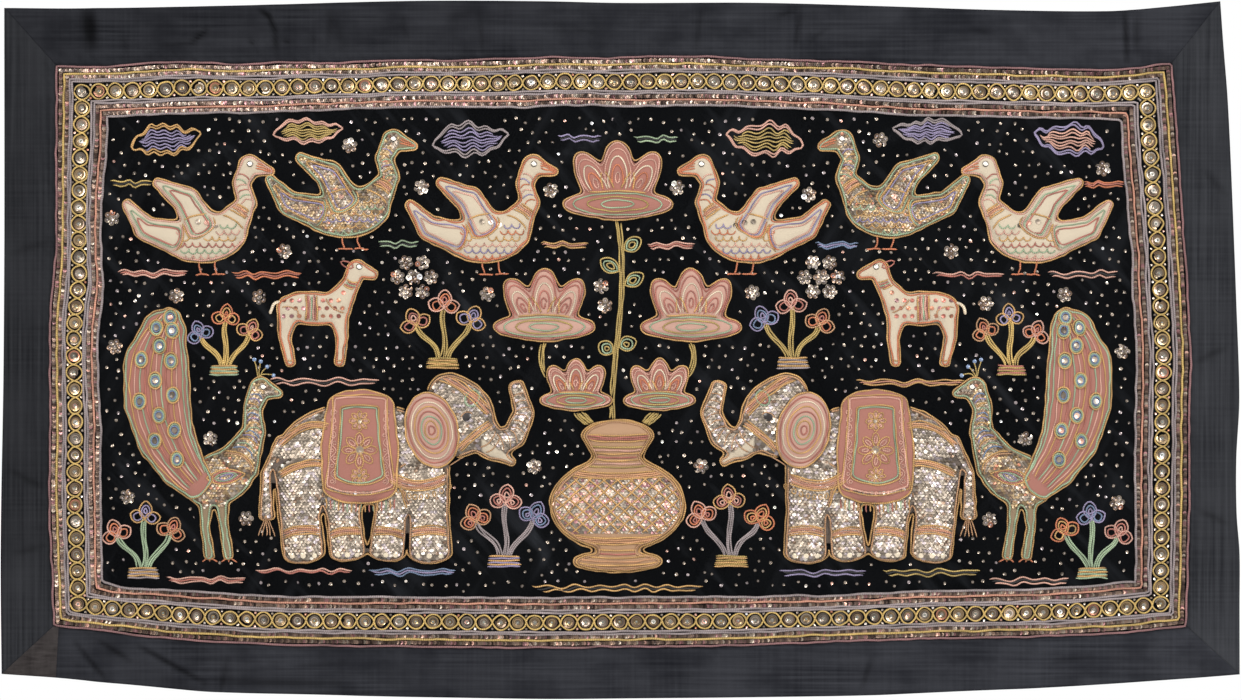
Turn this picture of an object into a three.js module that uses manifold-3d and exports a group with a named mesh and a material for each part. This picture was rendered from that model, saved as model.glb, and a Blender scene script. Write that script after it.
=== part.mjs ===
// A wall tapestry of black velvet, hung by its top edge: a sequinned band frames the velvet, padded animals,
// lotuses and a vase are sewn on it, and four mitred cotton strips border it all.
// Millimetres, +Z up. The origin is the middle of the top edge, and the front faces -Y.
import * as THREE from "three";
import { mergeVertices } from "three/addons/utils/BufferGeometryUtils.js";
import Module from "manifold-3d";

// Driving sizes
const VELVET_THICK = 2.2;
const COTTON_THICK = 1.4;
const GAP = 0.3; // between pieces that touch in the real thing
const CUT_MARGIN = 8; // how far the block that cuts off what is sewn on runs past the velvet
const PAD_GAP = 0.5; // between a padded piece and the one under it
const CLOTH_DROP = 836; // top edge to the lowest point of the hem
const CUTTER_DEPTH = 40;

// Corners of the three outlines, as [x, z]: the hem, the sequinned band's outer edge and its inner edge
const HEM = { tl: [-740, -6], tr: [719, 2], br: [743, -806], bl: [-743, -805] };
const FRAME = { tl: [-677, -76], tr: [661, -72], br: [679, -748], bl: [-680, -747] };
const FIELD = { tl: [-615, -137], tr: [599, -141], br: [617, -694], bl: [-622, -695] };

// How far each edge bows out from the line between its corners: [share of the way along, millimetres]
const HEM_BOW = {
  top: [[0, 0], [0.066, -1], [0.2, 1.7], [0.337, 5.8], [0.44, 4.6], [0.507, 2], [0.62, 1.2], [0.72, -3.5],
    [0.819, -9], [0.91, -11], [0.951, -6.8], [1, 0]],
  bottom: [[0, 0], [0.047, 5], [0.094, 12.5], [0.16, 21], [0.241, 24], [0.333, 27], [0.5, 30], [0.612, 27],
    [0.709, 24], [0.806, 18], [0.895, 12], [0.96, 5], [1, 0]],
  left: [[0, 0], [0.3, -0.6], [0.55, -0.4], [0.74, 1.5], [0.85, 1.8], [1, 0]],
  right: [[0, 0], [0.06, 2.2], [0.15, 6], [0.3, 8.5], [0.45, 9.7], [0.59, 9.8], [0.68, 4], [0.76, 2.4],
    [0.82, 4.4], [0.9, 2.4], [1, 0]],
};
const FRAME_BOW = {
  top: [[0, 0], [0.05, 0], [0.1, 4.8], [0.162, 2], [0.21, 4], [0.257, 3.2], [0.304, 6], [0.356, 5.9],
    [0.415, 8], [0.45, 9.6], [0.486, 7.8], [0.534, 10], [0.58, 9.4], [0.628, 6], [0.692, 3.7], [0.763, -1],
    [0.834, -4.2], [0.882, -6.2], [0.952, -7.6], [1, 0]],
  bottom: [[0, 0], [0.045, 7], [0.1, 16.6], [0.162, 21], [0.208, 23], [0.318, 24.7], [0.411, 26], [0.504, 26],
    [0.598, 23.8], [0.683, 18.5], [0.777, 14.8], [0.846, 13], [0.916, 10], [0.963, 5.8], [1, 0]],
  left: [[0, 0], [0.165, 0], [0.3, -0.4], [0.37, 2.3], [0.442, 6], [0.537, 6.2], [0.632, 5.9], [0.718, 6.6],
    [0.81, 6], [0.88, 3.5], [1, 0]],
  right: [[0, 0], [0.123, 3.8], [0.218, 6.7], [0.305, 9.4], [0.374, 11.6], [0.468, 13.2], [0.516, 14.4],
    [0.608, 10.9], [0.718, 9.2], [0.811, 7], [0.903, 3.6], [1, 0]],
};
const FIELD_BOW = {
  top: [[0, 0], [0.049, 2.5], [0.179, 6.6], [0.302, 12.4], [0.407, 12.6], [0.471, 15.6], [0.51, 14],
    [0.588, 15.4], [0.641, 13.4], [0.711, 10.6], [0.789, 4.7], [0.867, 3.5], [1, 0]],
  bottom: [[0, 0], [0.021, 6], [0.08, 9.8], [0.131, 13], [0.182, 16.4], [0.302, 16.8], [0.455, 17.9],
    [0.557, 17.4], [0.702, 14.9], [0.779, 11], [0.855, 9.2], [0.933, 6.4], [1, 0]],
  left: [[0, 0], [0.088, 1.2], [0.146, 4], [0.23, 6.5], [0.308, 5], [0.366, 2.4], [0.42, 5.2], [0.48, 8.6],
    [0.591, 6.2], [0.65, 3.5], [0.753, 3.6], [0.865, 2], [1, 0]],
  right: [[0, 0], [0.083, 0.8], [0.169, 4], [0.243, 5.9], [0.304, 8], [0.363, 7], [0.478, 9.4], [0.591, 7.4],
    [0.754, 3.2], [0.866, 2.5], [1, 0]],
};

// Long soft waves of the hanging cloth, which grow towards the free lower edge
const WAVES = [
  { length: 560, depth: 5, phase: 0.9, lean: 0.4 },
  { length: 310, depth: 2.6, phase: -0.7, lean: 1.5 },
  { length: 190, depth: 1.1, phase: 2.1, lean: -1.2 },
];
const PATCH_ENDS = { hem: 0.0437, seam: 0.004 }; // where the pieced corner stops and the bottom strip starts
const SIDE_CURL = 4; // how far the side edges turn back
const HALF_WIDTH = 742;

// Main folds of the cotton strips: a ridge runs from (x, z) by (dx, dz)
const FOLDS = [
  { x: -636, z: -4, dx: 6, dz: -56, width: 15, rise: 4.5 },
  { x: -420, z: -8, dx: 8, dz: -56, width: 12, rise: 3.2 },
  { x: -344, z: -6, dx: -4, dz: -48, width: 13, rise: 2.6 },
  { x: -150, z: -8, dx: 4, dz: -50, width: 14, rise: 1.8 },
  { x: 132, z: -6, dx: -10, dz: -50, width: 13, rise: 2.2 },
  { x: 370, z: -14, dx: 12, dz: -44, width: 15, rise: 2 },
  { x: 606, z: -6, dx: 2, dz: -64, width: 13, rise: 4.5 },
  { x: -663, z: -764, dx: 40, dz: -50, width: 12, rise: 4 },
  { x: -588, z: -768, dx: 104, dz: -62, width: 14, rise: 5 },
  { x: -452, z: -786, dx: 96, dz: -8, width: 13, rise: 2.6 },
  { x: -318, z: -782, dx: 4, dz: -48, width: 14, rise: 2.4 },
  { x: 336, z: -782, dx: -26, dz: -44, width: 15, rise: 2.6 },
  { x: 520, z: -770, dx: -40, dz: -48, width: 15, rise: 3 },
];

// Height of the sequinned band over the velvet: [share of the way from outer to inner edge, millimetres].
// Two groups of couched cords and sequin rows stand up on either side of the channel that holds the roundels.
const BAND_PROFILE = [[0, 0.6], [0.03, 3], [0.28, 3.4], [0.33, 1.4], [0.5, 3.2], [0.67, 1.4], [0.72, 3.4],
  [0.97, 3], [1, 0.6]];

// Grid steps
const VELVET_GRID = { along: 20, down: 12 };
const LONG_STRIP_GRID = { along: 3 * VELVET_GRID.along, across: 3 };
const SIDE_STRIP_GRID = { along: 2 * VELVET_GRID.down, across: 2 };
const PATCH_GRID = { along: 2, across: 2 };
const PAD_SIDE = 28; // about how long one straight side of a pad's outline is
const LEAST_PAD_SIDES = 8;

// A pad's dome, from its centre out: [share of the half width, share of the rise]. Its foot is let into the
// velvet and cut off there, as is a limb's.
const DOME = [[0, 1], [0.66, 0.8], [1, 0.1]];
const LIMB_SECTION = [[-1, 0.1], [-0.5, 0.88], [0.5, 0.88], [1, 0.1]];
const FOOT = 3;
// A limb's drawn-in end, as shares of its half width and rise
const TIP = { reach: 0.4, width: 0.65, height: 0.55 };

const COLOURS = {
  velvet: { color: 0x070708, roughness: 0.95, metalness: 0 },
  cotton: { color: 0x2b2b30, roughness: 0.9, metalness: 0 },
  band: { color: 0x9a8478, roughness: 0.45, metalness: 0.4 },
  silver: { color: 0x9b948a, roughness: 0.4, metalness: 0.6 },
  gold: { color: 0xb8955a, roughness: 0.5, metalness: 0.3 },
  rose: { color: 0xa8646a, roughness: 0.8, metalness: 0 },
  pink: { color: 0xc9a09a, roughness: 0.8, metalness: 0 },
  cream: { color: 0xe6dcc4, roughness: 0.9, metalness: 0 },
};

// Padded motifs, each in its own frame: x to the right, z up from its feet, facing +x.
// A pad is an oval cushion with its half widths, its tilt in degrees and its rise.
// A limb is a row of [x, z, half width] with rise as a share of the half width.
const ELEPHANT = {
  pads: [
    { x: -22, z: 124, rx: 98, rz: 60, tilt: 0, rise: 12 },
    { x: 92, z: 166, rx: 44, rz: 46, tilt: -15, rise: 12 },
    { x: 84, z: 200, rx: 23, rz: 18, tilt: 0, rise: 9 },
  ],
  limbs: [
    { rise: 0.42, path: [[52, 104, 32], [60, 50, 23], [61, 4, 25]] },
    { rise: 0.42, path: [[22, 90, 24], [14, 46, 19], [9, 5, 21]] },
    { rise: 0.42, path: [[-92, 104, 34], [-95, 50, 24], [-90, 4, 24]] },
    { rise: 0.42, path: [[-48, 90, 26], [-42, 46, 20], [-37, 5, 21]] },
    { rise: 0.5, path: [[112, 158, 24], [138, 134, 17], [162, 144, 13], [174, 172, 11], [164, 206, 8]] },
    { rise: 0.8, path: [[-116, 140, 6], [-135, 100, 5], [-135, 48, 8]] },
    { rise: 0.8, path: [[120, 136, 7], [160, 113, 4]] },
  ],
};
const ELEPHANT_EAR = {
  pads: [{ x: 64, z: 152, rx: 32, rz: 46, tilt: 14, rise: 16 }],
  limbs: [],
};
const SADDLE_CLOTH = {
  pads: [],
  limbs: [{ rise: 0.34, path: [[-22, 182, 40], [-22, 130, 47], [-22, 84, 45]] }],
};
const PEACOCK = {
  pads: [{ x: 2, z: 102, rx: 46, rz: 31, tilt: 24, rise: 9 }],
  limbs: [
    { rise: 0.5, path: [[26, 120, 26], [46, 160, 13], [44, 190, 10], [54, 214, 13], [80, 207, 3]] },
    { rise: 0.9, path: [[4, 80, 8], [8, 40, 4], [14, 3, 5]] },
    { rise: 0.9, path: [[-14, 78, 8], [-16, 40, 4], [-10, 3, 5]] },
  ],
};
const PEACOCK_TAIL = {
  pads: [],
  limbs: [
    { rise: 0.28, path: [[-22, 92, 20], [-46, 118, 28], [-66, 154, 35], [-76, 198, 40], [-77, 244, 39],
      [-68, 284, 27], [-56, 308, 10]] },
  ],
};
const GOOSE = {
  pads: [{ x: 2, z: 46, rx: 44, rz: 27, tilt: 8, rise: 8 }],
  limbs: [
    { rise: 0.5, path: [[28, 56, 20], [49, 86, 9.5], [42, 108, 8.5], [52, 128, 11.5], [78, 121, 3]] },
    { rise: 0.5, path: [[-2, 56, 18], [-20, 88, 15], [-56, 110, 4]] },
    { rise: 0.5, path: [[-32, 46, 18], [-66, 56, 13], [-90, 86, 4]] },
  ],
};
const DEER = {
  pads: [{ x: -4, z: 74, rx: 44, rz: 20, tilt: -4, rise: 8 }],
  limbs: [
    { rise: 0.5, path: [[28, 80, 17], [46, 106, 10], [52, 124, 11], [76, 116, 5]] },
    { rise: 0.55, path: [[28, 70, 12], [34, 36, 6], [30, 3, 5]] },
    { rise: 0.55, path: [[-34, 70, 13], [-40, 38, 6.5], [-32, 3, 5]] },
  ],
};
const LOTUS = {
  pads: [
    { x: 0, z: 35, rx: 15, rz: 34, tilt: 0, rise: 8 },
    { x: -20, z: 30, rx: 13, rz: 32, tilt: 30, rise: 7 },
    { x: 20, z: 30, rx: 13, rz: 32, tilt: -30, rise: 7 },
    { x: 0, z: 11, rx: 50, rz: 12, tilt: 0, rise: 6.5 },
  ],
  limbs: [],
};
const VASE = {
  pads: [
    { x: 0, z: 78, rx: 80, rz: 55, tilt: 0, rise: 12 },
    { x: 0, z: 10, rx: 52, rz: 12, tilt: 0, rise: 8 },
  ],
  limbs: [
    { rise: 0.3, path: [[0, 112, 42], [0, 136, 28], [0, 160, 42]] },
    { rise: 0.3, path: [[0, 34, 26], [0, 14, 24]] },
  ],
};

// Where the padded motifs are sewn: their feet and their size. A pair stands on either side of the middle and
// faces it. A piece on a carrier lies over it.
const MIDDLE = -4;
const PAIRS = [
  { name: "elephant", motif: ELEPHANT, colour: "silver", spread: 286, z: -664, size: 1 },
  { name: "ear", motif: ELEPHANT_EAR, colour: "pink", spread: 286, z: -664, size: 1, on: "elephant" },
  { name: "saddle", motif: SADDLE_CLOTH, colour: "rose", spread: 286, z: -664, size: 1, on: "elephant" },
  { name: "peacock", motif: PEACOCK, colour: "gold", spread: 480, z: -668, size: 0.96 },
  { name: "peacock_tail", motif: PEACOCK_TAIL, colour: "rose", spread: 480, z: -668, size: 0.96, on: "peacock" },
  { name: "goose_outer", motif: GOOSE, colour: "cream", spread: 496, z: -330, size: 1.05 },
  { name: "goose_middle", motif: GOOSE, colour: "gold", spread: 324, z: -300, size: 1.05 },
  { name: "goose_inner", motif: GOOSE, colour: "cream", spread: 156, z: -330, size: 1.05 },
  { name: "deer", motif: DEER, colour: "cream", spread: 362, z: -436, size: 0.94 },
  { name: "lotus_high", motif: LOTUS, colour: "pink", spread: 88, z: -402, size: 1.2 },
  { name: "lotus_low", motif: LOTUS, colour: "rose", spread: 50, z: -486, size: 0.85 },
];
const SINGLES = [
  { name: "vase", motif: VASE, colour: "gold", z: -680, size: 1 },
  { name: "lotus_top", motif: LOTUS, colour: "rose", z: -256, size: 1.3 },
];

const wasm = await Module();
wasm.setup();

// A smooth curve through a table of [place, value] rows.
function smoothTable(rows) {
  const slope = (i) => {
    const before = rows[Math.max(i - 1, 0)];
    const after = rows[Math.min(i + 1, rows.length - 1)];
    return (after[1] - before[1]) / (after[0] - before[0]);
  };
  return (place) => {
    let i = rows.findIndex((row) => row[0] > place) - 1;
    if (i < 0) i = place < rows[0][0] ? 0 : rows.length - 2;
    const [x0, y0] = rows[i];
    const [x1, y1] = rows[i + 1];
    const span = x1 - x0;
    const t = (place - x0) / span;
    const ease = t * t * (3 - 2 * t);
    return y0 + (y1 - y0) * ease + span * (slope(i) * t * (1 - t) ** 2 - slope(i + 1) * t * t * (1 - t));
  };
}

const mix = (a, b, t) => [THREE.MathUtils.lerp(a[0], b[0], t), THREE.MathUtils.lerp(a[1], b[1], t)];

// One edge of an outline, from corner a to corner b, bowed out along the given direction.
function edge(a, b, out, rows) {
  const bow = smoothTable(rows);
  return (t) => [
    THREE.MathUtils.lerp(a[0], b[0], t) + out[0] * bow(t),
    THREE.MathUtils.lerp(a[1], b[1], t) + out[1] * bow(t),
  ];
}

// The same edge in straight steps.
function stepped(edgeAt, steps) {
  return (t) => {
    const k = THREE.MathUtils.clamp(Math.floor(t * steps), 0, steps - 1);
    return mix(edgeAt(k / steps), edgeAt((k + 1) / steps), t * steps - k);
  };
}

function outline(corners, bow) {
  return {
    top: edge(corners.tl, corners.tr, [0, 1], bow.top),
    bottom: edge(corners.bl, corners.br, [0, -1], bow.bottom),
    left: edge(corners.tl, corners.bl, [-1, 0], bow.left),
    right: edge(corners.tr, corners.br, [1, 0], bow.right),
  };
}
const hem = outline(HEM, HEM_BOW);
const field = outline(FIELD, FIELD_BOW);

// The velvet's own outline runs straight from grid point to grid point, so that its neighbours can follow it.
const smoothFrame = outline(FRAME, FRAME_BOW);
const frame = {
  top: stepped(smoothFrame.top, VELVET_GRID.along),
  bottom: stepped(smoothFrame.bottom, VELVET_GRID.along),
  left: stepped(smoothFrame.left, VELVET_GRID.down),
  right: stepped(smoothFrame.right, VELVET_GRID.down),
};

// A point inside four bowed edges, at shares s across and t down.
function inside(edges, s, t) {
  const along = mix(edges.top(s), edges.bottom(s), t);
  const down = mix(edges.left(t), edges.right(t), s);
  const flat = mix(mix(edges.top(0), edges.top(1), s), mix(edges.bottom(0), edges.bottom(1), s), t);
  return [along[0] + down[0] - flat[0], along[1] + down[1] - flat[1]];
}

// Depth of the cloth's middle surface: 0 along the held top edge, waving more and more below it.
function hang(x, z) {
  const drop = THREE.MathUtils.clamp(-z / CLOTH_DROP, 0, 1);
  const wave = WAVES.reduce(
    (sum, w) => sum + w.depth * Math.sin((2 * Math.PI * x) / w.length + w.phase + w.lean * drop), 0);
  return drop * wave + SIDE_CURL * Math.min(1, 3 * drop) * Math.abs(x / HALF_WIDTH) ** 8;
}

// How far the cotton's folds stand forward of that surface.
function folds(x, z) {
  return FOLDS.reduce((sum, f) => {
    const long2 = f.dx * f.dx + f.dz * f.dz;
    const t = THREE.MathUtils.clamp(((x - f.x) * f.dx + (z - f.z) * f.dz) / long2, 0, 1);
    const away = Math.hypot(x - f.x - t * f.dx, z - f.z - t * f.dz);
    const taper = 1 - 0.6 * Math.abs(2 * t - 1) ** 2;
    return sum + f.rise * taper * Math.exp(-((away / f.width) ** 2));
  }, 0);
}

function geometryOf(points, triangles) {
  const geometry = new THREE.BufferGeometry();
  geometry.setAttribute("position", new THREE.Float32BufferAttribute(points.flat(), 3));
  geometry.setIndex(triangles.flat());
  return geometry;
}

// A closed geometry as a solid with its faces turned out, without the flat triangles of merged corners.
function solid(geometry) {
  geometry.deleteAttribute("normal");
  geometry.deleteAttribute("uv");
  const merged = mergeVertices(geometry, 1e-3);
  const positions = merged.attributes.position.array;
  const corners = merged.index.array;
  const faces = [];
  let volume = 0;
  for (let i = 0; i < corners.length; i += 3) {
    const face = [corners[i], corners[i + 1], corners[i + 2]];
    if (new Set(face).size < 3) continue;
    const [a, b, c] = face.map((corner) => new THREE.Vector3().fromArray(positions, 3 * corner));
    volume += a.dot(b.cross(c));
    faces.push(face);
  }
  if (volume < 0) faces.forEach((face) => face.reverse());
  const triVerts = new Uint32Array(faces.flat());
  return new wasm.Manifold(new wasm.Mesh({ numProp: 3, vertProperties: positions, triVerts }));
}

// A sheet over a grid: pointAt(s, t) gives [x, z], front and back give the two faces' depths there.
function sheet(across, down, pointAt, front, back) {
  const points = [];
  for (const face of [front, back])
    for (let j = 0; j <= down; j++)
      for (let i = 0; i <= across; i++) {
        const [x, z] = pointAt(i / across, j / down);
        points.push([x, face(x, z, j / down), z]);
      }
  const half = points.length / 2;
  const at = (i, j) => j * (across + 1) + i;
  const triangles = [];
  const quad = (a, b, c, d) => triangles.push([a, b, c], [a, c, d]);
  for (let j = 0; j < down; j++)
    for (let i = 0; i < across; i++) {
      quad(at(i, j), at(i, j + 1), at(i + 1, j + 1), at(i + 1, j));
      quad(half + at(i, j), half + at(i + 1, j), half + at(i + 1, j + 1), half + at(i, j + 1));
    }
  const rim = (a, b) => quad(a, b, half + b, half + a);
  for (let i = 0; i < across; i++) {
    rim(at(i, 0), at(i + 1, 0));
    rim(at(i + 1, down), at(i, down));
  }
  for (let j = 0; j < down; j++) {
    rim(at(0, j + 1), at(0, j));
    rim(at(across, j), at(across, j + 1));
  }
  return solid(geometryOf(points, triangles));
}

const velvetFront = (x, z) => hang(x, z) - VELVET_THICK / 2;
const velvetBack = (x, z) => hang(x, z) + VELVET_THICK / 2;

function velvetGround() {
  const place = (s, t) => inside(frame, s, t);
  return sheet(VELVET_GRID.along, VELVET_GRID.down, place, velvetFront, velvetBack);
}

// What lies behind the velvet's front face, and a gap more, as one block on the velvet's own grid, with one more
// row of cells past each edge.
function behindVelvet() {
  const { along, down } = VELVET_GRID;
  const place = (s, t) => {
    const across = (s * (along + 2) - 1) / along;
    const below = (t * (down + 2) - 1) / down;
    const [s0, t0] = [across, below].map((share) => THREE.MathUtils.clamp(share, 0, 1));
    const [x, z] = inside(frame, s0, t0);
    return [x + (across - s0) * along * CUT_MARGIN, z - (below - t0) * down * CUT_MARGIN];
  };
  return sheet(along + 2, down + 2, place,
    (x, z) => velvetFront(x, z) - GAP, (x, z) => velvetFront(x, z) + CUTTER_DEPTH);
}

const cottonFront = (x, z) => hang(x, z) - folds(x, z) - COTTON_THICK / 2;
const cottonBack = (x, z) => hang(x, z) - folds(x, z) + COTTON_THICK / 2;

// A cotton strip from its hem to its seam, with its ends and its seam a little clear. It starts and stops at
// shares of the hem's length and of the seam's.
function cottonStrip(outer, inner, grid, from = { hem: 0, seam: 0 }, to = { hem: 1, seam: 1 }) {
  const length = Math.hypot(outer(1)[0] - outer(0)[0], outer(1)[1] - outer(0)[1]);
  const width = Math.hypot(outer(0.5)[0] - inner(0.5)[0], outer(0.5)[1] - inner(0.5)[1]);
  const endGap = GAP / length;
  const place = (s, t) => {
    const onHem = THREE.MathUtils.lerp(from.hem + endGap, to.hem - endGap, s);
    const onSeam = THREE.MathUtils.lerp(from.seam + endGap, to.seam - endGap, s);
    return mix(outer(onHem), inner(onSeam), t * (1 - GAP / width));
  };
  return sheet(grid.along, grid.across, place, cottonFront, cottonBack);
}

// A run of closed rings joined into one body. Its two ends are capped as the section's own outline is filled.
function loftGeometry(rings, section) {
  const count = section.length;
  const triangles = [];
  for (let k = 0; k + 1 < rings.length; k++)
    for (let i = 0; i < count; i++) {
      const a = k * count + i;
      const b = k * count + ((i + 1) % count);
      triangles.push([a, b, b + count], [a, b + count, a + count]);
    }
  const last = (rings.length - 1) * count;
  const shape = section.map(([u, v]) => new THREE.Vector2(u, v));
  const turnsLeft = (corners) => THREE.ShapeUtils.area(corners) > 0;
  for (const face of THREE.ShapeUtils.triangulateShape(shape, [])) {
    const sameWay = turnsLeft(face.map((i) => shape[i])) === turnsLeft(shape);
    const [a, b, c] = sameWay ? face : face.toReversed();
    triangles.push([c, b, a], [last + a, last + b, last + c]);
  }
  return geometryOf(rings.flat(), triangles);
}

// One side of the sequinned band, on the velvet between the band's outer and inner edges.
function sequinBand(outer, inner, steps, cutter) {
  const length = Math.hypot(outer(1)[0] - outer(0)[0], outer(1)[1] - outer(0)[1]);
  const endGap = GAP / length;
  const section = [...BAND_PROFILE, [1, -FOOT], [0, -FOOT]];
  const rings = [];
  for (let k = 0; k <= steps; k++) {
    const along = endGap + (k / steps) * (1 - 2 * endGap);
    rings.push(section.map(([across, height]) => {
      const [x, z] = mix(outer(along), inner(along), across);
      return [x, velvetFront(x, z) - GAP - height, z];
    }));
  }
  return solid(loftGeometry(rings, section)).subtract(cutter);
}

// The two places of a pair, or the one place of a single motif, with its facing.
function placesOf(motif) {
  if (motif.spread === undefined) return [{ ...motif, node: motif.name, x: MIDDLE, facing: 1 }];
  return [["left", 1], ["right", -1]].map(([side, facing]) => (
    { ...motif, node: `${motif.name}_${side}`, x: MIDDLE - facing * motif.spread, facing }));
}

// A part of a motif, drawn flat, as a solid in its place on the velvet.
function sewnDown(geometry, place) {
  const points = geometry.attributes.position;
  for (let i = 0; i < points.count; i++) {
    const x = place.x + place.facing * place.size * points.getX(i);
    const z = place.z + place.size * points.getZ(i);
    points.setXYZ(i, x, velvetFront(x, z) - GAP - place.size * points.getY(i), z);
  }
  return solid(geometry);
}

// An oval cushion, grown by a margin.
function padSolid(pad, place, margin) {
  const profile = [[0, -1], [1, -1], ...DOME.toReversed()];
  const rise = pad.rise + margin;
  const height = (share) => (share < 0 ? -FOOT : rise * share);
  const heights = profile.map(([radius, share]) => new THREE.Vector2(radius, height(share)));
  const sides = Math.max(LEAST_PAD_SIDES, Math.round((Math.PI * (pad.rx + pad.rz)) / PAD_SIDE));
  const geometry = new THREE.LatheGeometry(heights, sides);
  geometry.scale(pad.rx + margin, 1, pad.rz + margin);
  geometry.rotateY(-THREE.MathUtils.degToRad(pad.tilt));
  geometry.translate(pad.x, 0, pad.z);
  return sewnDown(geometry, place);
}

// A padded limb along its path, with drawn-in ends, grown by a margin.
function limbSolid(limb, place, margin) {
  const path = limb.path;
  const last = path.length - 1;
  const section = [[-1, -1], ...LIMB_SECTION, [1, -1]];
  const heading = (i) => {
    const a = path[Math.max(i - 1, 0)];
    const b = path[Math.min(i + 1, last)];
    return new THREE.Vector2(b[0] - a[0], b[1] - a[1]).normalize();
  };
  const ring = (i, reach, width, height) => {
    const [x, z, halfWidth] = path[i];
    const way = heading(i);
    const half = halfWidth + margin;
    const rise = (limb.rise * halfWidth + margin) * height;
    return section.map(([side, share]) => [
      x + way.x * reach * half + way.y * side * half * width,
      share < 0 ? -FOOT : rise * share,
      z + way.y * reach * half - way.x * side * half * width,
    ]);
  };
  const rings = path.map((_, i) => ring(i, 0, 1, 1));
  rings.unshift(ring(0, -TIP.reach, TIP.width, TIP.height));
  rings.push(ring(last, TIP.reach, TIP.width, TIP.height));
  return sewnDown(loftGeometry(rings, section), place);
}

// All pads and limbs of a motif in one piece, in its place.
function motifSolid(place, margin) {
  const pads = place.motif.pads.map((pad) => padSolid(pad, place, margin));
  const limbs = place.motif.limbs.map((limb) => limbSolid(limb, place, margin));
  return [...pads, ...limbs].reduce((sum, part) => sum.add(part));
}

function meshOf(name, manifold, colour) {
  const made = manifold.getMesh();
  const geometry = new THREE.BufferGeometry();
  geometry.setAttribute("position", new THREE.BufferAttribute(made.vertProperties, 3));
  geometry.setIndex(new THREE.BufferAttribute(made.triVerts, 1));
  geometry.computeVertexNormals();
  const mesh = new THREE.Mesh(geometry, new THREE.MeshStandardMaterial(COLOURS[colour]));
  mesh.name = name;
  return mesh;
}

const tapestry = new THREE.Group();
tapestry.add(meshOf("velvet_ground", velvetGround(), "velvet"));
const cutter = behindVelvet();
for (const side of ["top", "bottom", "left", "right"]) {
  const long = side === "top" || side === "bottom";
  const start = side === "bottom" ? PATCH_ENDS : undefined;
  const strip = cottonStrip(hem[side], frame[side], long ? LONG_STRIP_GRID : SIDE_STRIP_GRID, start);
  const band = sequinBand(frame[side], field[side], long ? VELVET_GRID.along : VELVET_GRID.down, cutter);
  tapestry.add(meshOf(`cotton_border_${side}`, strip, "cotton"), meshOf(`sequin_band_${side}`, band, "band"));
}
const patch = cottonStrip(hem.bottom, frame.bottom, PATCH_GRID, undefined, PATCH_ENDS);
tapestry.add(meshOf("cotton_corner_patch", patch, "cotton"));
for (const motif of [...PAIRS, ...SINGLES]) {
  const carrier = PAIRS.find((other) => other.name === motif.on);
  placesOf(motif).forEach((place, side) => {
    const piece = motifSolid(place, 0).subtract(cutter);
    const clear = carrier ? piece.subtract(motifSolid(placesOf(carrier)[side], PAD_GAP)) : piece;
    tapestry.add(meshOf(place.node, clear, place.colour));
  });
}
export default tapestry;
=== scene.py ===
"""An embroidered hanging of black velvet: padded animals, couched cords, sequins and a cotton border.

Lengths are in millimetres until a mesh is made in metres: x to the right, z up, y away from the viewer.
"""
import math

import bpy
import numpy as np
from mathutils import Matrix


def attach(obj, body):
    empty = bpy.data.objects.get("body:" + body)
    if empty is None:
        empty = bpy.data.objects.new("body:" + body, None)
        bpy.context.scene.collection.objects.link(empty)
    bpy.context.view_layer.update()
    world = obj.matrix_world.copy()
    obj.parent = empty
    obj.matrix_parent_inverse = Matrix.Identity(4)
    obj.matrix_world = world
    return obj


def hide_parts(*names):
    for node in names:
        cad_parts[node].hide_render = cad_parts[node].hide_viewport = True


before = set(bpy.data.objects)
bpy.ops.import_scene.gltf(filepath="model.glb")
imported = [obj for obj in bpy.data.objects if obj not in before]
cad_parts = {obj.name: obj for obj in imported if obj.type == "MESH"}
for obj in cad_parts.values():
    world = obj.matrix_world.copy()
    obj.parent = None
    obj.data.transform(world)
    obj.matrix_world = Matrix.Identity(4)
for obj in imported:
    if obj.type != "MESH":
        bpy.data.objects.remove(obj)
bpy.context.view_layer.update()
MM = 0.001
rng = np.random.default_rng(11)

# Camera and picture
PHOTO_WIDTH = 1242  # pixels
MM_PER_PIXEL = 1.2
PICTURE_MIDDLE_Z = -416.4
LENS = 80
SENSOR = 36
FLOOR_Z = -2.5  # metres
FLOOR = (28, -34, 12.6)  # half width, front edge and back edge, in metres

# Cloth sizes
VELVET_THICK = 2.2
VELVET_BACK = 7.0  # how much lighter the velvet's back is than its pile
COTTON_THICK = 1.4
CLOTH_DROP = 836
HALF_WIDTH = 742
SIDE_CURL = 4  # how far the side edges bend back
STRIP_WIDTH = 64
BAND_WIDTH = 61.5
FIELD_BOX = (-640, 640, -730, -120)  # low and high x, low and high z of the raster of the padded shapes
RASTER_STEP = 2.0
RELIEF_STEP = 3.0  # between the points of a padded piece
PAD_EDGE = 0.4  # how high a padded piece stands at its outline
OVERLAY = 1.2  # how far a piece sewn on another stands over it
TIP_REACH = 0.45  # how far a limb's end reaches past its last point, as a share of its half width
BLEND = 2.5  # how softly a motif's parts run into each other

# Cords
CORD_SIDES = 5
CORD_STEPS = 12  # the fewest steps along a short cord
CORD_SWAY = 0.34  # how far a couched cord strays
CORD_END = 0.35  # how thick a cord's end is, as a share of the cord
TWIST = 2.2  # length of one turn of a cord's plies

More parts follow.
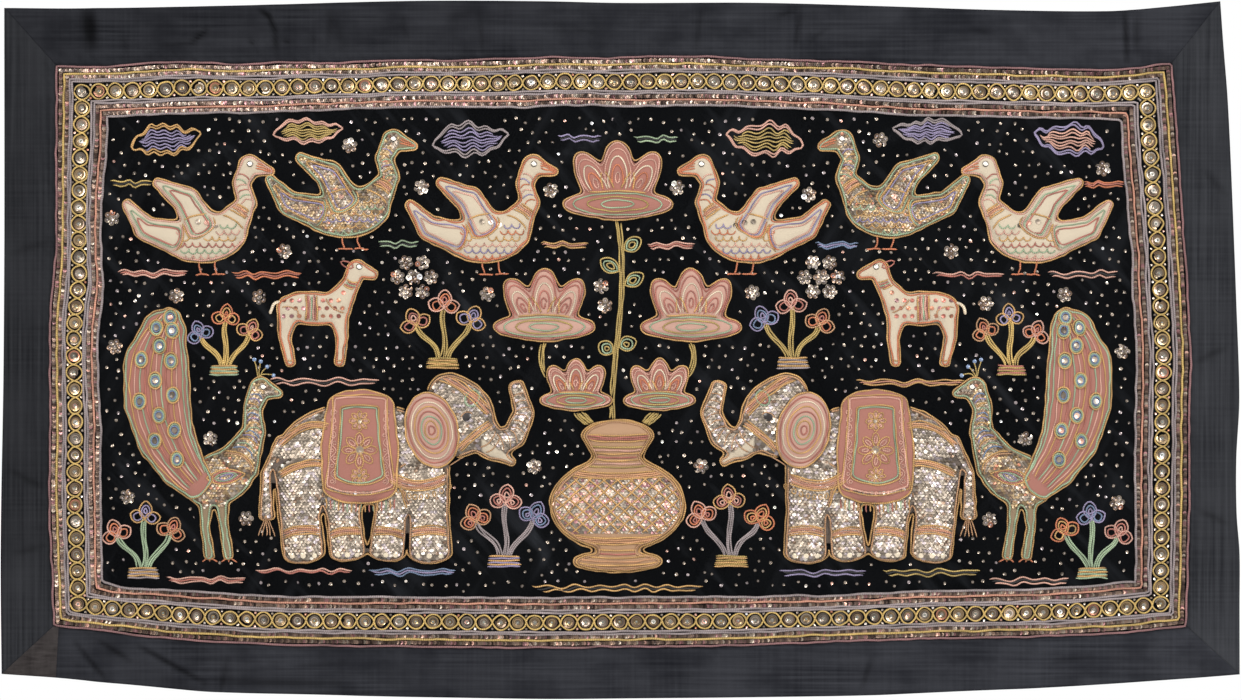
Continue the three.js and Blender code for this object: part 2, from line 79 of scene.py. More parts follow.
# Corners of the three outlines, and how far each edge bows out: (share of the way along, millimetres)
HEM = {"tl": (-740, -6), "tr": (719, 2), "br": (743, -806), "bl": (-743, -805)}
FRAME = {"tl": (-677, -76), "tr": (661, -72), "br": (679, -748), "bl": (-680, -747)}
FIELD = {"tl": (-615, -137), "tr": (599, -141), "br": (617, -694), "bl": (-622, -695)}
HEM_BOW = {
    "top": [(0, 0), (0.066, -1), (0.2, 1.7), (0.337, 5.8), (0.44, 4.6), (0.507, 2), (0.62, 1.2), (0.72, -3.5),
            (0.819, -9), (0.91, -11), (0.951, -6.8), (1, 0)],
    "bottom": [(0, 0), (0.047, 5), (0.094, 12.5), (0.16, 21), (0.241, 24), (0.333, 27), (0.5, 30),
               (0.612, 27), (0.709, 24), (0.806, 18), (0.895, 12), (0.96, 5), (1, 0)],
    "left": [(0, 0), (0.3, -0.6), (0.55, -0.4), (0.74, 1.5), (0.85, 1.8), (1, 0)],
    "right": [(0, 0), (0.06, 2.2), (0.15, 6), (0.3, 8.5), (0.45, 9.7), (0.59, 9.8), (0.68, 4), (0.76, 2.4),
              (0.82, 4.4), (0.9, 2.4), (1, 0)],
}
FRAME_BOW = {
    "top": [(0, 0), (0.05, 0), (0.1, 4.8), (0.162, 2), (0.21, 4), (0.257, 3.2), (0.304, 6), (0.356, 5.9),
            (0.415, 8), (0.45, 9.6), (0.486, 7.8), (0.534, 10), (0.58, 9.4), (0.628, 6), (0.692, 3.7),
            (0.763, -1), (0.834, -4.2), (0.882, -6.2), (0.952, -7.6), (1, 0)],
    "bottom": [(0, 0), (0.045, 7), (0.1, 16.6), (0.162, 21), (0.208, 23), (0.318, 24.7), (0.411, 26),
               (0.504, 26), (0.598, 23.8), (0.683, 18.5), (0.777, 14.8), (0.846, 13), (0.916, 10),
               (0.963, 5.8), (1, 0)],
    "left": [(0, 0), (0.165, 0), (0.3, -0.4), (0.37, 2.3), (0.442, 6), (0.537, 6.2), (0.632, 5.9),
             (0.718, 6.6), (0.81, 6), (0.88, 3.5), (1, 0)],
    "right": [(0, 0), (0.123, 3.8), (0.218, 6.7), (0.305, 9.4), (0.374, 11.6), (0.468, 13.2), (0.516, 14.4),
              (0.608, 10.9), (0.718, 9.2), (0.811, 7), (0.903, 3.6), (1, 0)],
}
FIELD_BOW = {
    "top": [(0, 0), (0.049, 2.5), (0.179, 6.6), (0.302, 12.4), (0.407, 12.6), (0.471, 15.6), (0.51, 14),
            (0.588, 15.4), (0.641, 13.4), (0.711, 10.6), (0.789, 4.7), (0.867, 3.5), (1, 0)],
    "bottom": [(0, 0), (0.021, 6), (0.08, 9.8), (0.131, 13), (0.182, 16.4), (0.302, 16.8), (0.455, 17.9),
               (0.557, 17.4), (0.702, 14.9), (0.779, 11), (0.855, 9.2), (0.933, 6.4), (1, 0)],
    "left": [(0, 0), (0.088, 1.2), (0.146, 4), (0.23, 6.5), (0.308, 5), (0.366, 2.4), (0.42, 5.2),
             (0.48, 8.6), (0.591, 6.2), (0.65, 3.5), (0.753, 3.6), (0.865, 2), (1, 0)],
    "right": [(0, 0), (0.083, 0.8), (0.169, 4), (0.243, 5.9), (0.304, 8), (0.363, 7), (0.478, 9.4),
              (0.591, 7.4), (0.754, 3.2), (0.866, 2.5), (1, 0)],
}

# Long soft waves of the hanging cloth: (length, depth, phase, lean)
WAVES = [(560, 5, 0.9, 0.4), (310, 2.6, -0.7, 1.5), (190, 1.1, 2.1, -1.2)]

# Folds and creases: a ridge, or a trough where its rise is negative, runs from (x, z) by (dx, dz)
FOLDS = [
    # x, z, dx, dz, width, rise
    (-636, -4, 6, -56, 15, 4.5),
    (-420, -8, 8, -56, 12, 3.2),
    (-344, -6, -4, -48, 13, 2.6),
    (-150, -8, 4, -50, 14, 1.8),
    (132, -6, -10, -50, 13, 2.2),
    (370, -14, 12, -44, 15, 2),
    (606, -6, 2, -64, 13, 4.5),
    (-663, -764, 40, -50, 12, 4),
    (-588, -768, 104, -62, 14, 5),
    (-452, -786, 96, -8, 13, 2.6),
    (-318, -782, 4, -48, 14, 2.4),
    (336, -782, -26, -44, 15, 2.6),
    (520, -770, -40, -48, 15, 3),
]
# The cotton's creases: they dent the cloth, and cotton_shade paints shade into them.
COTTON_CREASES = [
    (-642, -8, 4, -46, 7, -2.6),
    (-634, -10, 4, -42, 6, -2),
    (-596, -40, 2, -22, 3, -0.9),
    (-556, -52, 42, 4, 2.5, -0.9),
    (-516, -48, 20, 17, 3, -2),
    (-444, -44, 2, -6, 3, -1.6),
    (-434, -8, 12, -8, 3.5, -2),
    (-423, -14, 8, -20, 3.5, -2.4),
    (-415, -32, 1, -26, 3.5, -1.9),
    (-402, -44, 2, -6, 3.5, -1.4),
    (-369, -38, -1, -12, 3.5, -1.2),
    (-349, -10, -2, -42, 3.5, -1.2),
    (-262, -14, 4, -30, 4, -0.8),
    (-170, -8, 3, -50, 4, -0.9),
    (-60, -30, 30, -6, 3, -0.6),
    (96, -8, -6, -46, 3.5, -1.1),
    (186, -16, 26, 8, 3, -1.3),
    (214, -10, -4, -40, 3.5, -1.4),
    (226, -46, 22, 16, 3, -0.9),
    (420, -30, 26, -8, 3, -0.8),
    (604, -10, 3, -60, 4, -2.4),
    (618, -16, 0, -44, 5, -1.4),
    (-655, -767, 37, -46, 3, -2),
    (-626, -766, 35, -24, 3, -1.8),
    (-580, -772, 80, -44, 3.5, -2.6),
    (-498, -814, 160, -2, 4, -1.4),
    (-474, -788, -6, -40, 3.5, -1.2),
    (-390, -796, 60, 4, 3, -0.8),
    (300, -786, -12, -36, 3.5, -1.2),
    (520, -790, 50, 6, 3, -0.8),
    (700, -200, 26, -30, 4, -1),
    (692, -430, 34, 16, 4, -1),
    (696, -610, 30, -14, 4, -1),
    (-730, -300, 44, 14, 4, -0.8),
    (-734, -560, 40, -22, 4, -1),
    (-726, -660, 34, 8, 4, -0.8),
    (-346, -12, 14, -46, 8, -0.9),
    (-206, -20, 30, 14, 6, -0.6),
]
# The velvet's creases: they dent the cloth, and velvet_piece paints a sheen along them.
VELVET_CREASES = [
    (-560, -230, 90, 60, 5, -0.8),
    (-440, -180, 60, -120, 6, -0.5),
    (-400, -240, 70, 40, 5, -0.7),
    (-220, -300, 70, -130, 6, -0.5),
    (-80, -190, 60, 30, 5, -0.7),
    (120, -300, -70, -120, 6, -0.5),
    (300, -170, 70, 30, 5, -0.6),
    (420, -300, 80, -130, 6, -0.5),
    (-120, -600, 40, -90, 6, -0.6),
    (-600, -560, 50, 44, 5, -0.6),
    (500, -480, 60, 40, 5, -0.6),
]
PUCKER = {"rise": 0.7, "pitch": 17, "reach": 16}  # small gathers of the cotton along its seam

COLOURS = {  # as seen, 0 to 255
    "gold": (208, 164, 102), "tan": (196, 152, 112), "bronze": (150, 126, 92), "silver": (164, 149, 133),
    "rose": (180, 111, 96), "pink": (216, 167, 148), "cream": (228, 212, 184), "mint": (158, 180, 146),
    "lilac": (150, 140, 174), "orange": (204, 122, 82), "olive": (174, 148, 82), "grey": (156, 144, 144),
    "mauve": (146, 104, 104), "salmon": (194, 138, 114), "black": (22, 20, 22), "blue": (114, 134, 164),
    "copper": (176, 118, 92), "white": (238, 227, 212), "band": (132, 109, 94), "dusk": (86, 68, 60),
    "umber": (114, 93, 76), "yellow": (212, 180, 106), "pewter": (122, 111, 98), "leaf": (190, 164, 96),
    "apricot": (212, 158, 114),
}


def linear(colour):
    """A colour of 0 to 255 as seen, as the shader's linear red, green and blue."""
    share = np.array(COLOURS[colour] if isinstance(colour, str) else colour) / 255
    return np.where(share <= 0.04045, share / 12.92, ((share + 0.055) / 1.055) ** 2.4)


# Padded motifs, each in its own frame: x to the right, z up from its feet, facing +x.
# A pad is (x, z, half width, half height, tilt, rise). A limb is (rise, [(x, z, half width), ...]).
MOTIFS = {
    "elephant": (
        [(-22, 124, 98, 60, 0, 12), (92, 166, 44, 46, -15, 12), (84, 200, 23, 18, 0, 9)],
        [(0.42, [(52, 104, 32), (60, 50, 23), (61, 4, 25)]),
         (0.42, [(22, 90, 24), (14, 46, 19), (9, 5, 21)]),
         (0.42, [(-92, 104, 34), (-95, 50, 24), (-90, 4, 24)]),
         (0.42, [(-48, 90, 26), (-42, 46, 20), (-37, 5, 21)]),
         (0.5, [(112, 158, 24), (138, 134, 17), (162, 144, 13), (174, 172, 11), (164, 206, 8)]),
         (0.8, [(-116, 140, 6), (-135, 100, 5), (-135, 48, 8)]),
         (0.8, [(120, 136, 7), (160, 113, 4)])],
    ),
    "ear": ([(64, 152, 32, 46, 14, 16)], []),
    "saddle": ([], [(0.34, [(-22, 182, 40), (-22, 130, 47), (-22, 84, 45)])]),
    "peacock": (
        [(2, 102, 46, 31, 24, 9)],
        [(0.5, [(26, 120, 26), (46, 160, 13), (44, 190, 10), (54, 214, 13), (80, 207, 3)]),
         (0.9, [(4, 80, 8), (8, 40, 4), (14, 3, 5)]),
         (0.9, [(-14, 78, 8), (-16, 40, 4), (-10, 3, 5)])],
    ),
    "peacock_tail": (
        [],
        [(0.28, [(-22, 92, 20), (-46, 118, 28), (-66, 154, 35), (-76, 198, 40), (-77, 244, 39),
                 (-68, 284, 27), (-56, 308, 10)])],
    ),
    "goose": (
        [(2, 46, 44, 27, 8, 8)],
        [(0.5, [(28, 56, 20), (49, 86, 9.5), (42, 108, 8.5), (52, 128, 11.5), (78, 121, 3)]),
         (0.5, [(-2, 56, 18), (-20, 88, 15), (-56, 110, 4)]),
         (0.5, [(-32, 46, 18), (-66, 56, 13), (-90, 86, 4)])],
    ),
    "deer": (
        [(-4, 74, 44, 20, -4, 8)],
        [(0.5, [(28, 80, 17), (46, 106, 10), (52, 124, 11), (76, 116, 5)]),
         (0.55, [(28, 70, 12), (34, 36, 6), (30, 3, 5)]),
         (0.55, [(-34, 70, 13), (-40, 38, 6.5), (-32, 3, 5)])],
    ),
    "lotus": (
        [(0, 35, 15, 34, 0, 8), (-20, 30, 13, 32, 30, 7), (20, 30, 13, 32, -30, 7), (0, 11, 50, 12, 0, 6.5)],
        [],
    ),
    "vase": (
        [(0, 78, 80, 55, 0, 12), (0, 10, 52, 12, 0, 8)],
        [(0.3, [(0, 112, 42), (0, 136, 28), (0, 160, 42)]), (0.3, [(0, 34, 26), (0, 14, 24)])],
    ),
}

TUSK = MOTIFS["elephant"][1][6]
TUSK_SHOWS = 122  # how far forward the tusk comes out of the mouth

# Where motifs are sewn: name, motif, distance from the middle, feet, size, cloth, slot, what carries it
MIDDLE = -4
PAIRS = [
    ("elephant", "elephant", 286, -664, 1, "silver", "silver_sequins", None),
    ("ear", "ear", 286, -664, 1, "pink", "pink_cloth", "elephant"),
    ("saddle", "saddle", 286, -664, 1, "rose", "rose_cloth", "elephant"),
    ("peacock", "peacock", 480, -668, 0.96, "bronze", "bronze_sequins", None),
    ("peacock_tail", "peacock_tail", 480, -668, 0.96, "rose", "rose_cloth", "peacock"),
    ("goose_outer", "goose", 496, -330, 1.05, "cream", "cream_cloth", None),
    ("goose_middle", "goose", 324, -300, 1.05, "bronze", "bronze_sequins", None),
    ("goose_inner", "goose", 156, -330, 1.05, "cream", "cream_cloth", None),
    ("deer", "deer", 362, -436, 0.94, "cream", "cream_cloth", None),
    ("lotus_high", "lotus", 88, -402, 1.2, "pink", "pink_cloth", None),
    ("lotus_low", "lotus", 50, -486, 0.85, "rose", "rose_cloth", None),
]
SINGLES = [
    ("vase", "vase", -680, 1, "tan", "bronze_sequins"),
    ("lotus_top", "lotus", -256, 1.3, "rose", "rose_cloth"),
]


# Outlines and the hanging cloth

def smooth_table(rows):
    """A smooth curve through rows of (place, value)."""
    place, value = np.array(rows, float).T
    order = np.arange(len(place))
    before, after = np.maximum(order - 1, 0), np.minimum(order + 1, len(place) - 1)
    slope = (value[after] - value[before]) / (place[after] - place[before])

    def at(where):
        i = np.clip(np.searchsorted(place, where, side="right") - 1, 0, len(place) - 2)
        span = place[i + 1] - place[i]
        t = (where - place[i]) / span
        ease = t * t * (3 - 2 * t)
        bend = span * (slope[i] * t * (1 - t) ** 2 - slope[i + 1] * t * t * (1 - t))
        return value[i] + (value[i + 1] - value[i]) * ease + bend

    return at


def edge(a, b, out, rows):
    """One edge of an outline, from corner a to corner b, bowed along the direction out."""
    bow = smooth_table(rows)
    a, b, out = (np.array(v, float) for v in (a, b, out))

    def at(t):
        t = np.asarray(t, float)[..., None]
        return a + (b - a) * t + out * bow(t)

    return at


def outline(corner, bow):
    """The four edges of an outline."""
    ends = {"top": ("tl", "tr", (0, 1)), "bottom": ("bl", "br", (0, -1)),
            "left": ("tl", "bl", (-1, 0)), "right": ("tr", "br", (1, 0))}
    return {side: edge(corner[a], corner[b], out, bow[side]) for side, (a, b, out) in ends.items()}

hem, band_outside, band_inside = outline(HEM, HEM_BOW), outline(FRAME, FRAME_BOW), outline(FIELD, FIELD_BOW)


def inside(edges, s, t):
    """The point at shares s across and t down inside four bowed edges."""
    s1, t1 = s[..., None], t[..., None]
    along = edges["top"](s) * (1 - t1) + edges["bottom"](s) * t1
    down = edges["left"](t) * (1 - s1) + edges["right"](t) * s1
    zero, one = np.zeros_like(s), np.ones_like(s)
    top = edges["top"](zero) * (1 - s1) + edges["top"](one) * s1
    bottom = edges["bottom"](zero) * (1 - s1) + edges["bottom"](one) * s1
    return along + down - (top * (1 - t1) + bottom * t1)


def hang(x, z):
    """Depth of the cloth's middle surface."""
    drop = np.clip(-z / CLOTH_DROP, 0, 1)
    wave = 0
    for length, depth, phase, lean in WAVES:
        wave = wave + depth * np.sin(2 * math.pi * x / length + phase + lean * drop)
    return drop * wave + SIDE_CURL * np.minimum(1, 3 * drop) * np.abs(x / HALF_WIDTH) ** 8


def ridges(rows, x, z):
    """How far forward of that surface the listed folds stand."""
    total = np.zeros_like(x)
    for x0, z0, dx, dz, width, rise in rows:
        t = np.clip(((x - x0) * dx + (z - z0) * dz) / (dx * dx + dz * dz), 0, 1)
        away = np.hypot(x - x0 - t * dx, z - z0 - t * dz)
        total += rise * (1 - 0.6 * np.abs(2 * t - 1) ** 2) * np.exp(-((away / width) ** 2))
    return total


def velvet_front(x, z):
    return hang(x, z) - ridges(VELVET_CREASES, x, z) - VELVET_THICK / 2


# Meshes

def unit(rows, least=0.0):
    """Rows of numbers, each scaled to length 1."""
    return rows / (np.linalg.norm(rows, axis=1)[:, None] + least)

class Bag:
    """Points and faces of many small shapes that end up as one piece."""

    def __init__(self):
        self.points, self.faces, self.tints, self.uvs, self.count = [], [], [], [], 0

    def add(self, points, faces, tint=(1, 1, 1), uv=None):
        """Adds points, faces as arrays of corners, a tint for each point or all, a uv for each corner."""
        self.points.append(points)
        self.faces.append(faces + self.count)
        self.tints.append(np.broadcast_to(tint, points.shape))
        self.uvs.append(np.zeros((faces.size, 2)) if uv is None else uv)
        self.count += len(points)

    def piece(self, name, material, slot, smooth=True, replaces=()):
        """The piece that the bag holds, riding on the one body."""
        mesh = bpy.data.meshes.new(name)
        faces = sum((f.tolist() for f in self.faces), [])
        mesh.from_pydata((np.concatenate(self.points) * MM).tolist(), [], faces)
        tint = np.concatenate(self.tints)
        colour = mesh.attributes.new("tint", "FLOAT_COLOR", "POINT")
        colour.data.foreach_set("color", np.column_stack([tint, np.ones(len(tint))]).ravel())
        mesh.uv_layers.new(name="UVMap").data.foreach_set("uv", np.concatenate(self.uvs).ravel())
        mesh.polygons.foreach_set("use_smooth", np.full(len(mesh.polygons), smooth))
        mesh.materials.append(material)
        made = bpy.data.objects.new(name, mesh)
        bpy.context.scene.collection.objects.link(made)
        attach(made, "root")
        if replaces:
            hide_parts(*replaces)
        return made


def grid_faces(across, down):
    """Four corners for each cell of a grid of points, counted row by row, facing the viewer."""
    i, j = np.meshgrid(np.arange(across), np.arange(down))
    corner = (j * (across + 1) + i).ravel()
    return np.column_stack([corner, corner + across + 1, corner + across + 2, corner + 1])


def rim_faces(across, down, half):
    """The faces that close a sheet's edges, between its front grid and its back grid."""
    wide = across + 1
    top = np.arange(wide)
    right = np.arange(down + 1) * wide + across
    loop = np.concatenate([top, right[1:], (down * wide + top)[::-1][1:], (right - across)[::-1][1:-1]])
    after = np.roll(loop, -1)
    return np.column_stack([loop, after, after + half, loop + half])


def sheet_piece(name, place, front, back, grid, material, slot, replaced, shade, back_shade=1.0):
    """A sheet of cloth over a grid of places, with its two faces' depths and its shade at each point."""
    across, down = grid
    s, t = np.meshgrid(np.linspace(0, 1, across + 1), np.linspace(0, 1, down + 1))
    flat = place(s, t).reshape(-1, 2)
    x, z = flat.T
    half = len(flat)
    bag = Bag()
    points = np.concatenate([np.column_stack([x, face(x, z, t.ravel()), z]) for face in (front, back)])
    ahead = grid_faces(across, down)
    tint = np.repeat(np.concatenate([shade(x, z), np.full(half, back_shade)])[:, None], 3, axis=1)
    bag.add(points, np.concatenate([ahead, ahead[:, ::-1] + half, rim_faces(across, down, half)]), tint)
    return bag.piece(name, material, slot, replaces=(replaced,))


# Materials

def node(tree, kind, inputs=None, **settings):
    """A shader node with its settings, and its inputs as numbers or as links."""
    made = tree.nodes.new(kind)
    for key, value in settings.items():
        setattr(made, key, value)
    for key, value in (inputs or {}).items():
        if isinstance(value, bpy.types.NodeSocket):
            tree.links.new(value, made.inputs[key])
        else:
            made.inputs[key].default_value = value
    return made


def new_material(name, **numbers):
    """A material with constant numbers set on its shader's own sockets, and its tree."""
    material = bpy.data.materials.new(name)
    material.use_nodes = True
    shader = material.node_tree.nodes["Principled BSDF"]
    for key, value in numbers.items():
        shader.inputs[key.replace("_", " ")].default_value = value
    return material, material.node_tree


def blended(tree, factor, a, b, kind="MIX"):
    """Two colours mixed by a factor."""
    mix = node(tree, "ShaderNodeMix", {0: factor}, data_type="RGBA", blend_type=kind)
    for socket, value in ((mix.inputs[6], a), (mix.inputs[7], b)):
        if isinstance(value, bpy.types.NodeSocket):
            tree.links.new(value, socket)
        else:
            socket.default_value = (*value, 1)
    return mix.outputs[2]


def noise(tree, vector, scale, stretch=(1, 1, 1), detail=3.0):
    """Noise over object space, stretched along the axes."""
    mapped = node(tree, "ShaderNodeMapping", {"Vector": vector, "Scale": stretch})
    made = node(tree, "ShaderNodeTexNoise", {"Vector": mapped.outputs[0], "Scale": scale, "Detail": detail})
    return made.outputs["Fac"]


def ramp(tree, factor, low, high):
    """A factor stretched from low and high to 0 and 1."""
    made = node(tree, "ShaderNodeMapRange", {"Value": factor, "From Min": low, "From Max": high})
    return made.outputs[0]


def maths(tree, kind, a, b=0.0):
    return node(tree, "ShaderNodeMath", {0: a, 1: b}, operation=kind).outputs[0]

def times(tree, a, b):
    return maths(tree, "MULTIPLY", a, b)

def tint_of(tree):
    """The colour that each point of a piece carries."""
    return node(tree, "ShaderNodeAttribute", attribute_name="tint").outputs["Color"]

def tinted(tree, colour):
    return blended(tree, 1.0, colour, tint_of(tree), "MULTIPLY")

def object_place(tree):
    """Where a point lies, in metres."""
    return node(tree, "ShaderNodeTexCoord").outputs["Object"]

def finished(material, colour, height, distance, strength):
    """The material, once its shader has its colour and a bump of the given depth in metres."""
    tree = material.node_tree
    shader = tree.nodes["Principled BSDF"]
    tree.links.new(colour, shader.inputs["Base Color"])
    made = node(tree, "ShaderNodeBump", {"Height": height, "Distance": distance, "Strength": strength})
    tree.links.new(made.outputs[0], shader.inputs["Normal"])
    return material

def weave(tree, vector, pitch):
    """Plain weave: 0 between the threads and 1 on them, over x and z."""
    axes = node(tree, "ShaderNodeSeparateXYZ", {"Vector": vector})
    turns = 2 * math.pi / pitch
    over = [maths(tree, "SINE", times(tree, axes.outputs[k], turns)) for k in (0, 2)]
    return ramp(tree, times(tree, *over), -1, 1)

def velvet_material():
    """Black pile, brushed and crushed here and there, and paler and plain on its back."""
    material, tree = new_material("velvet", Roughness=1.0, Specular_IOR_Level=0.02, Sheen_Weight=0.007,
                                  Sheen_Roughness=0.4, Sheen_Tint=(0.5, 0.55, 0.6, 1))
    place = object_place(tree)
    brushed = ramp(tree, noise(tree, place, 7.0, (1.6, 1, 0.7)), 0.35, 0.7)
    pile = noise(tree, place, 900.0)
    colour = blended(tree, brushed, (0.0009, 0.001, 0.0013), (0.003, 0.0033, 0.0038))
    colour = blended(tree, ramp(tree, pile, 0.3, 0.8), colour, (0.0052, 0.0056, 0.0062))
    shade = node(tree, "ShaderNodeSeparateColor", {"Color": tint_of(tree)}).outputs["Red"]
    front = maths(tree, "LESS_THAN", shade, VELVET_BACK * 0.6)
    for turn, scale, high in ((0.75, 40.0, 0.9), (-0.5, 28.0, 0.6)):
        way = node(tree, "ShaderNodeMapping", {"Vector": place, "Rotation": (0, turn, 0)}).outputs["Vector"]
        crushed = ramp(tree, noise(tree, way, scale, (1, 1, 0.18)), 0.56, 0.76)
        crushed = times(tree, crushed, times(tree, front, high))
        colour = blended(tree, crushed, colour, (0.0125, 0.0135, 0.0155))
    return finished(material, tinted(tree, colour), pile, 0.0006, 0.6)

def cotton_material(name, dark, light, stretch, cloudy=0.0):
    """Dark plain weave with slubs along and across it, worn patches and cloudy ones."""
    material, tree = new_material(
        name, Roughness=0.9, Specular_IOR_Level=0.04, Sheen_Weight=0.004, Sheen_Roughness=0.5)
    place = object_place(tree)
    dark, light = linear(dark), linear(light)
    slub, crossed = (
        ramp(tree, noise(tree, place, 9.0, way, 6.0), 0.3, 0.72) for way in (stretch, stretch[::-1]))
    worn = ramp(tree, noise(tree, place, 11.0), 0.35, 0.7)
    threads = weave(tree, place, 0.0011)
    streaks = maths(tree, "ADD", times(tree, slub, 0.74), times(tree, crossed, 0.26))
    colour = blended(tree, streaks, dark, light)
    colour = blended(tree, worn, colour, blended(tree, 0.55, colour, light))
    colour = blended(tree, times(tree, threads, 0.3), colour, dark)
    clouds = ramp(tree, noise(tree, place, 14.0, (1, 1, 1.4), 4.0), 0.48, 0.66)
    colour = blended(tree, times(tree, clouds, cloudy), colour, dark)
    height = maths(tree, "ADD", times(tree, slub, 0.5), threads)
    return finished(material, tinted(tree, colour), height, 0.0002, 0.6)

def cloth_material(name):
    """The padded pieces' cotton: a tinted plain weave, a little soiled."""
    material, tree = new_material(name, Roughness=0.85, Sheen_Weight=0.1, Sheen_Roughness=0.5)
    place = object_place(tree)
    threads = weave(tree, place, 0.0012)
    soiled = ramp(tree, noise(tree, place, 45.0), 0.35, 0.75)
    tint = tint_of(tree)
    darker = blended(tree, 0.45, tint, (0.12, 0.09, 0.07))
    colour = blended(tree, times(tree, soiled, 0.45), tint, darker)
    colour = blended(tree, times(tree, threads, 0.25), darker, colour)
    return finished(material, colour, threads, 0.0003, 0.8)

def sequin_material(name, roughness, metal=0.85):
    """Shiny foil with small dents and dulled patches."""
    material, tree = new_material(name, Metallic=metal, Roughness=roughness, Coat_Weight=0.15)
    place = object_place(tree)
    dulled = ramp(tree, noise(tree, place, 60.0), 0.4, 0.8)
    colour = blended(tree, times(tree, dulled, 0.35), tint_of(tree), (0.16, 0.13, 0.11))
    return finished(material, colour, noise(tree, place, 1400.0), 0.0002, 0.25)

def cord_material(name, roughness, metal):
    """Twisted thread: painted shade between the turns, which run round the cord by its uv in millimetres."""
    material, tree = new_material(name, Roughness=roughness, Metallic=metal, Sheen_Weight=0.1)
    coordinate = node(tree, "ShaderNodeTexCoord")
    uv = node(tree, "ShaderNodeSeparateXYZ", {"Vector": coordinate.outputs["UV"]})
    turns = maths(tree, "ADD", maths(tree, "DIVIDE", uv.outputs[0], TWIST), uv.outputs[1])
    ply = ramp(tree, maths(tree, "SINE", times(tree, turns, 2 * math.pi)), -1, 1)
    uneven = ramp(tree, noise(tree, coordinate.outputs["Object"], 120.0), 0.3, 0.75)
    tint = tint_of(tree)
    # shade is the tint darkened: painted shade between the plies, and mixed in at random for unevenness
    shade = blended(tree, 1.0, tint, (0.5, 0.46, 0.43), "MULTIPLY")
    colour = blended(tree, times(tree, uneven, 0.25), blended(tree, ply, shade, tint), shade)
    return finished(material, colour, ply, 0.0005, 0.7)

def floor_material():
    """Pale and matt, with a faint grain."""
    material, tree = new_material("floor", Roughness=0.9)
    colour = blended(tree, noise(tree, object_place(tree), 3.0), (0.78, 0.78, 0.78), (0.84, 0.84, 0.84))
    tree.links.new(colour, tree.nodes["Principled BSDF"].inputs["Base Color"])
    return material

# The padded shapes

def pad_shape(pad, u, v):
    """How far outside a pad's outline a point is, and how high the pad stands there."""
    x, z, rx, rz, tilt, rise = pad
    c, s = math.cos(math.radians(tilt)), math.sin(math.radians(tilt))
    p = (u - x) * c + (v - z) * s
    r = (v - z) * c - (u - x) * s
    q = np.hypot(p / rx, r / rz) + 1e-9
    steep = np.hypot(p / rx**2, r / rz**2) / q + 1e-9
    return (q - 1) / np.maximum(steep, 1 / (rx + rz)), rise * np.sqrt(np.clip(1 - q * q, 0, 1))


def limb_shape(limb, u, v):
    """The same for a limb."""
    rise, path = limb
    far, high = np.full(u.shape, 1e3), np.zeros(u.shape)
    last = len(path) - 2
    for k, ((x0, z0, r0), (x1, z1, r1)) in enumerate(zip(path, path[1:])):
        length = math.hypot(x1 - x0, z1 - z0)
        along = ((u - x0) * (x1 - x0) + (v - z0) * (z1 - z0)) / length
        side = ((u - x0) * (z1 - z0) - (v - z0) * (x1 - x0)) / length
        before = np.maximum(-along, 0) / (TIP_REACH if k == 0 else 1)
        after = np.maximum(along - length, 0) / (TIP_REACH if k == last else 1)
        radius = r0 + (r1 - r0) * np.clip(along / length, 0, 1)
        q = np.hypot(side, before + after) / radius
        far = np.minimum(far, (q - 1) * radius)
        high = np.maximum(high, rise * radius * np.sqrt(np.clip(1 - q * q, 0, 1)))
    return far, high


class Place:
    """A motif sewn in its place, with its outline and its height over the velvet on a grid."""

    def __init__(self, name, motif, x, z, size, facing, cloth, slot, carrier=None):
        self.name, self.motif, self.x, self.z, self.size, self.facing = name, motif, x, z, size, facing
        self.cloth, self.slot, self.carrier = cloth, slot, carrier
        pads, limbs = MOTIFS[motif]
        reach = [(p[0], p[1], max(p[2], p[3])) for p in pads] + [point for limb in limbs for point in limb[1]]
        u, v, r = np.array(reach, float).T
        margin = 8
        low = np.array([(u - r).min() - margin, (v - r).min() - margin])
        high = np.array([(u + r).max() + margin, (v + r).max() + margin])
        corner = self.out(np.array([low, high]))
        self.low, self.high = corner.min(axis=0), corner.max(axis=0)

    def out(self, points):
        """Points of the motif's own frame, in the hanging's."""
        return np.asarray(points, float) * (self.facing * self.size, self.size) + (self.x, self.z)

    def own(self, x, z):
        return self.facing * (x - self.x) / self.size, (z - self.z) / self.size

    def parts(self, x, z):
        u, v = self.own(x, z)
        pads, limbs = MOTIFS[self.motif]
        return [pad_shape(pad, u, v) for pad in pads] + [limb_shape(limb, u, v) for limb in limbs]

    def shape(self, x, z):
        """How far outside the motif's outline a point is, and how high the motif stands there."""
        far, high = (np.array(values) for values in zip(*self.parts(x, z)))
        near = -BLEND * np.log(np.exp(-np.clip(far / BLEND, -60, 60)).sum(axis=0))
        near = np.where(far.min(axis=0) < 50, near, far.min(axis=0))
        rise = (high**6).sum(axis=0) ** (1 / 6)
        return near * self.size, rise * self.size

    def under(self, x, z):
        """How high the piece that carries this one stands over the velvet."""
        if not self.carrier:
            return np.zeros_like(x)
        far, carried = self.carrier.shape(x, z)
        return np.where(far < 0, carried + PAD_EDGE, 0)

    def height(self, x, z):
        """How high the finished surface stands over the velvet inside the outline."""
        rise = self.shape(x, z)[1] + PAD_EDGE
        return np.maximum(rise, self.under(x, z) + OVERLAY) if self.carrier else rise

    def grid(self, step):
        x = np.arange(self.low[0], self.high[0] + step, step)
        z = np.arange(self.low[1], self.high[1] + step, step)
        return np.meshgrid(x, z)


def all_places():
    made = {}
    for name, motif, spread, z, size, cloth, slot, on in PAIRS:
        for side, facing in (("left", 1), ("right", -1)):
            carrier = made.get(f"{on}_{side}")
            full = f"{name}_{side}"
            made[full] = Place(full, motif, MIDDLE - facing * spread, z, size, facing, cloth, slot, carrier)
    for name, motif, z, size, cloth, slot in SINGLES:
        made[name] = Place(name, motif, MIDDLE, z, size, 1, cloth, slot)
    return made


places = all_places()


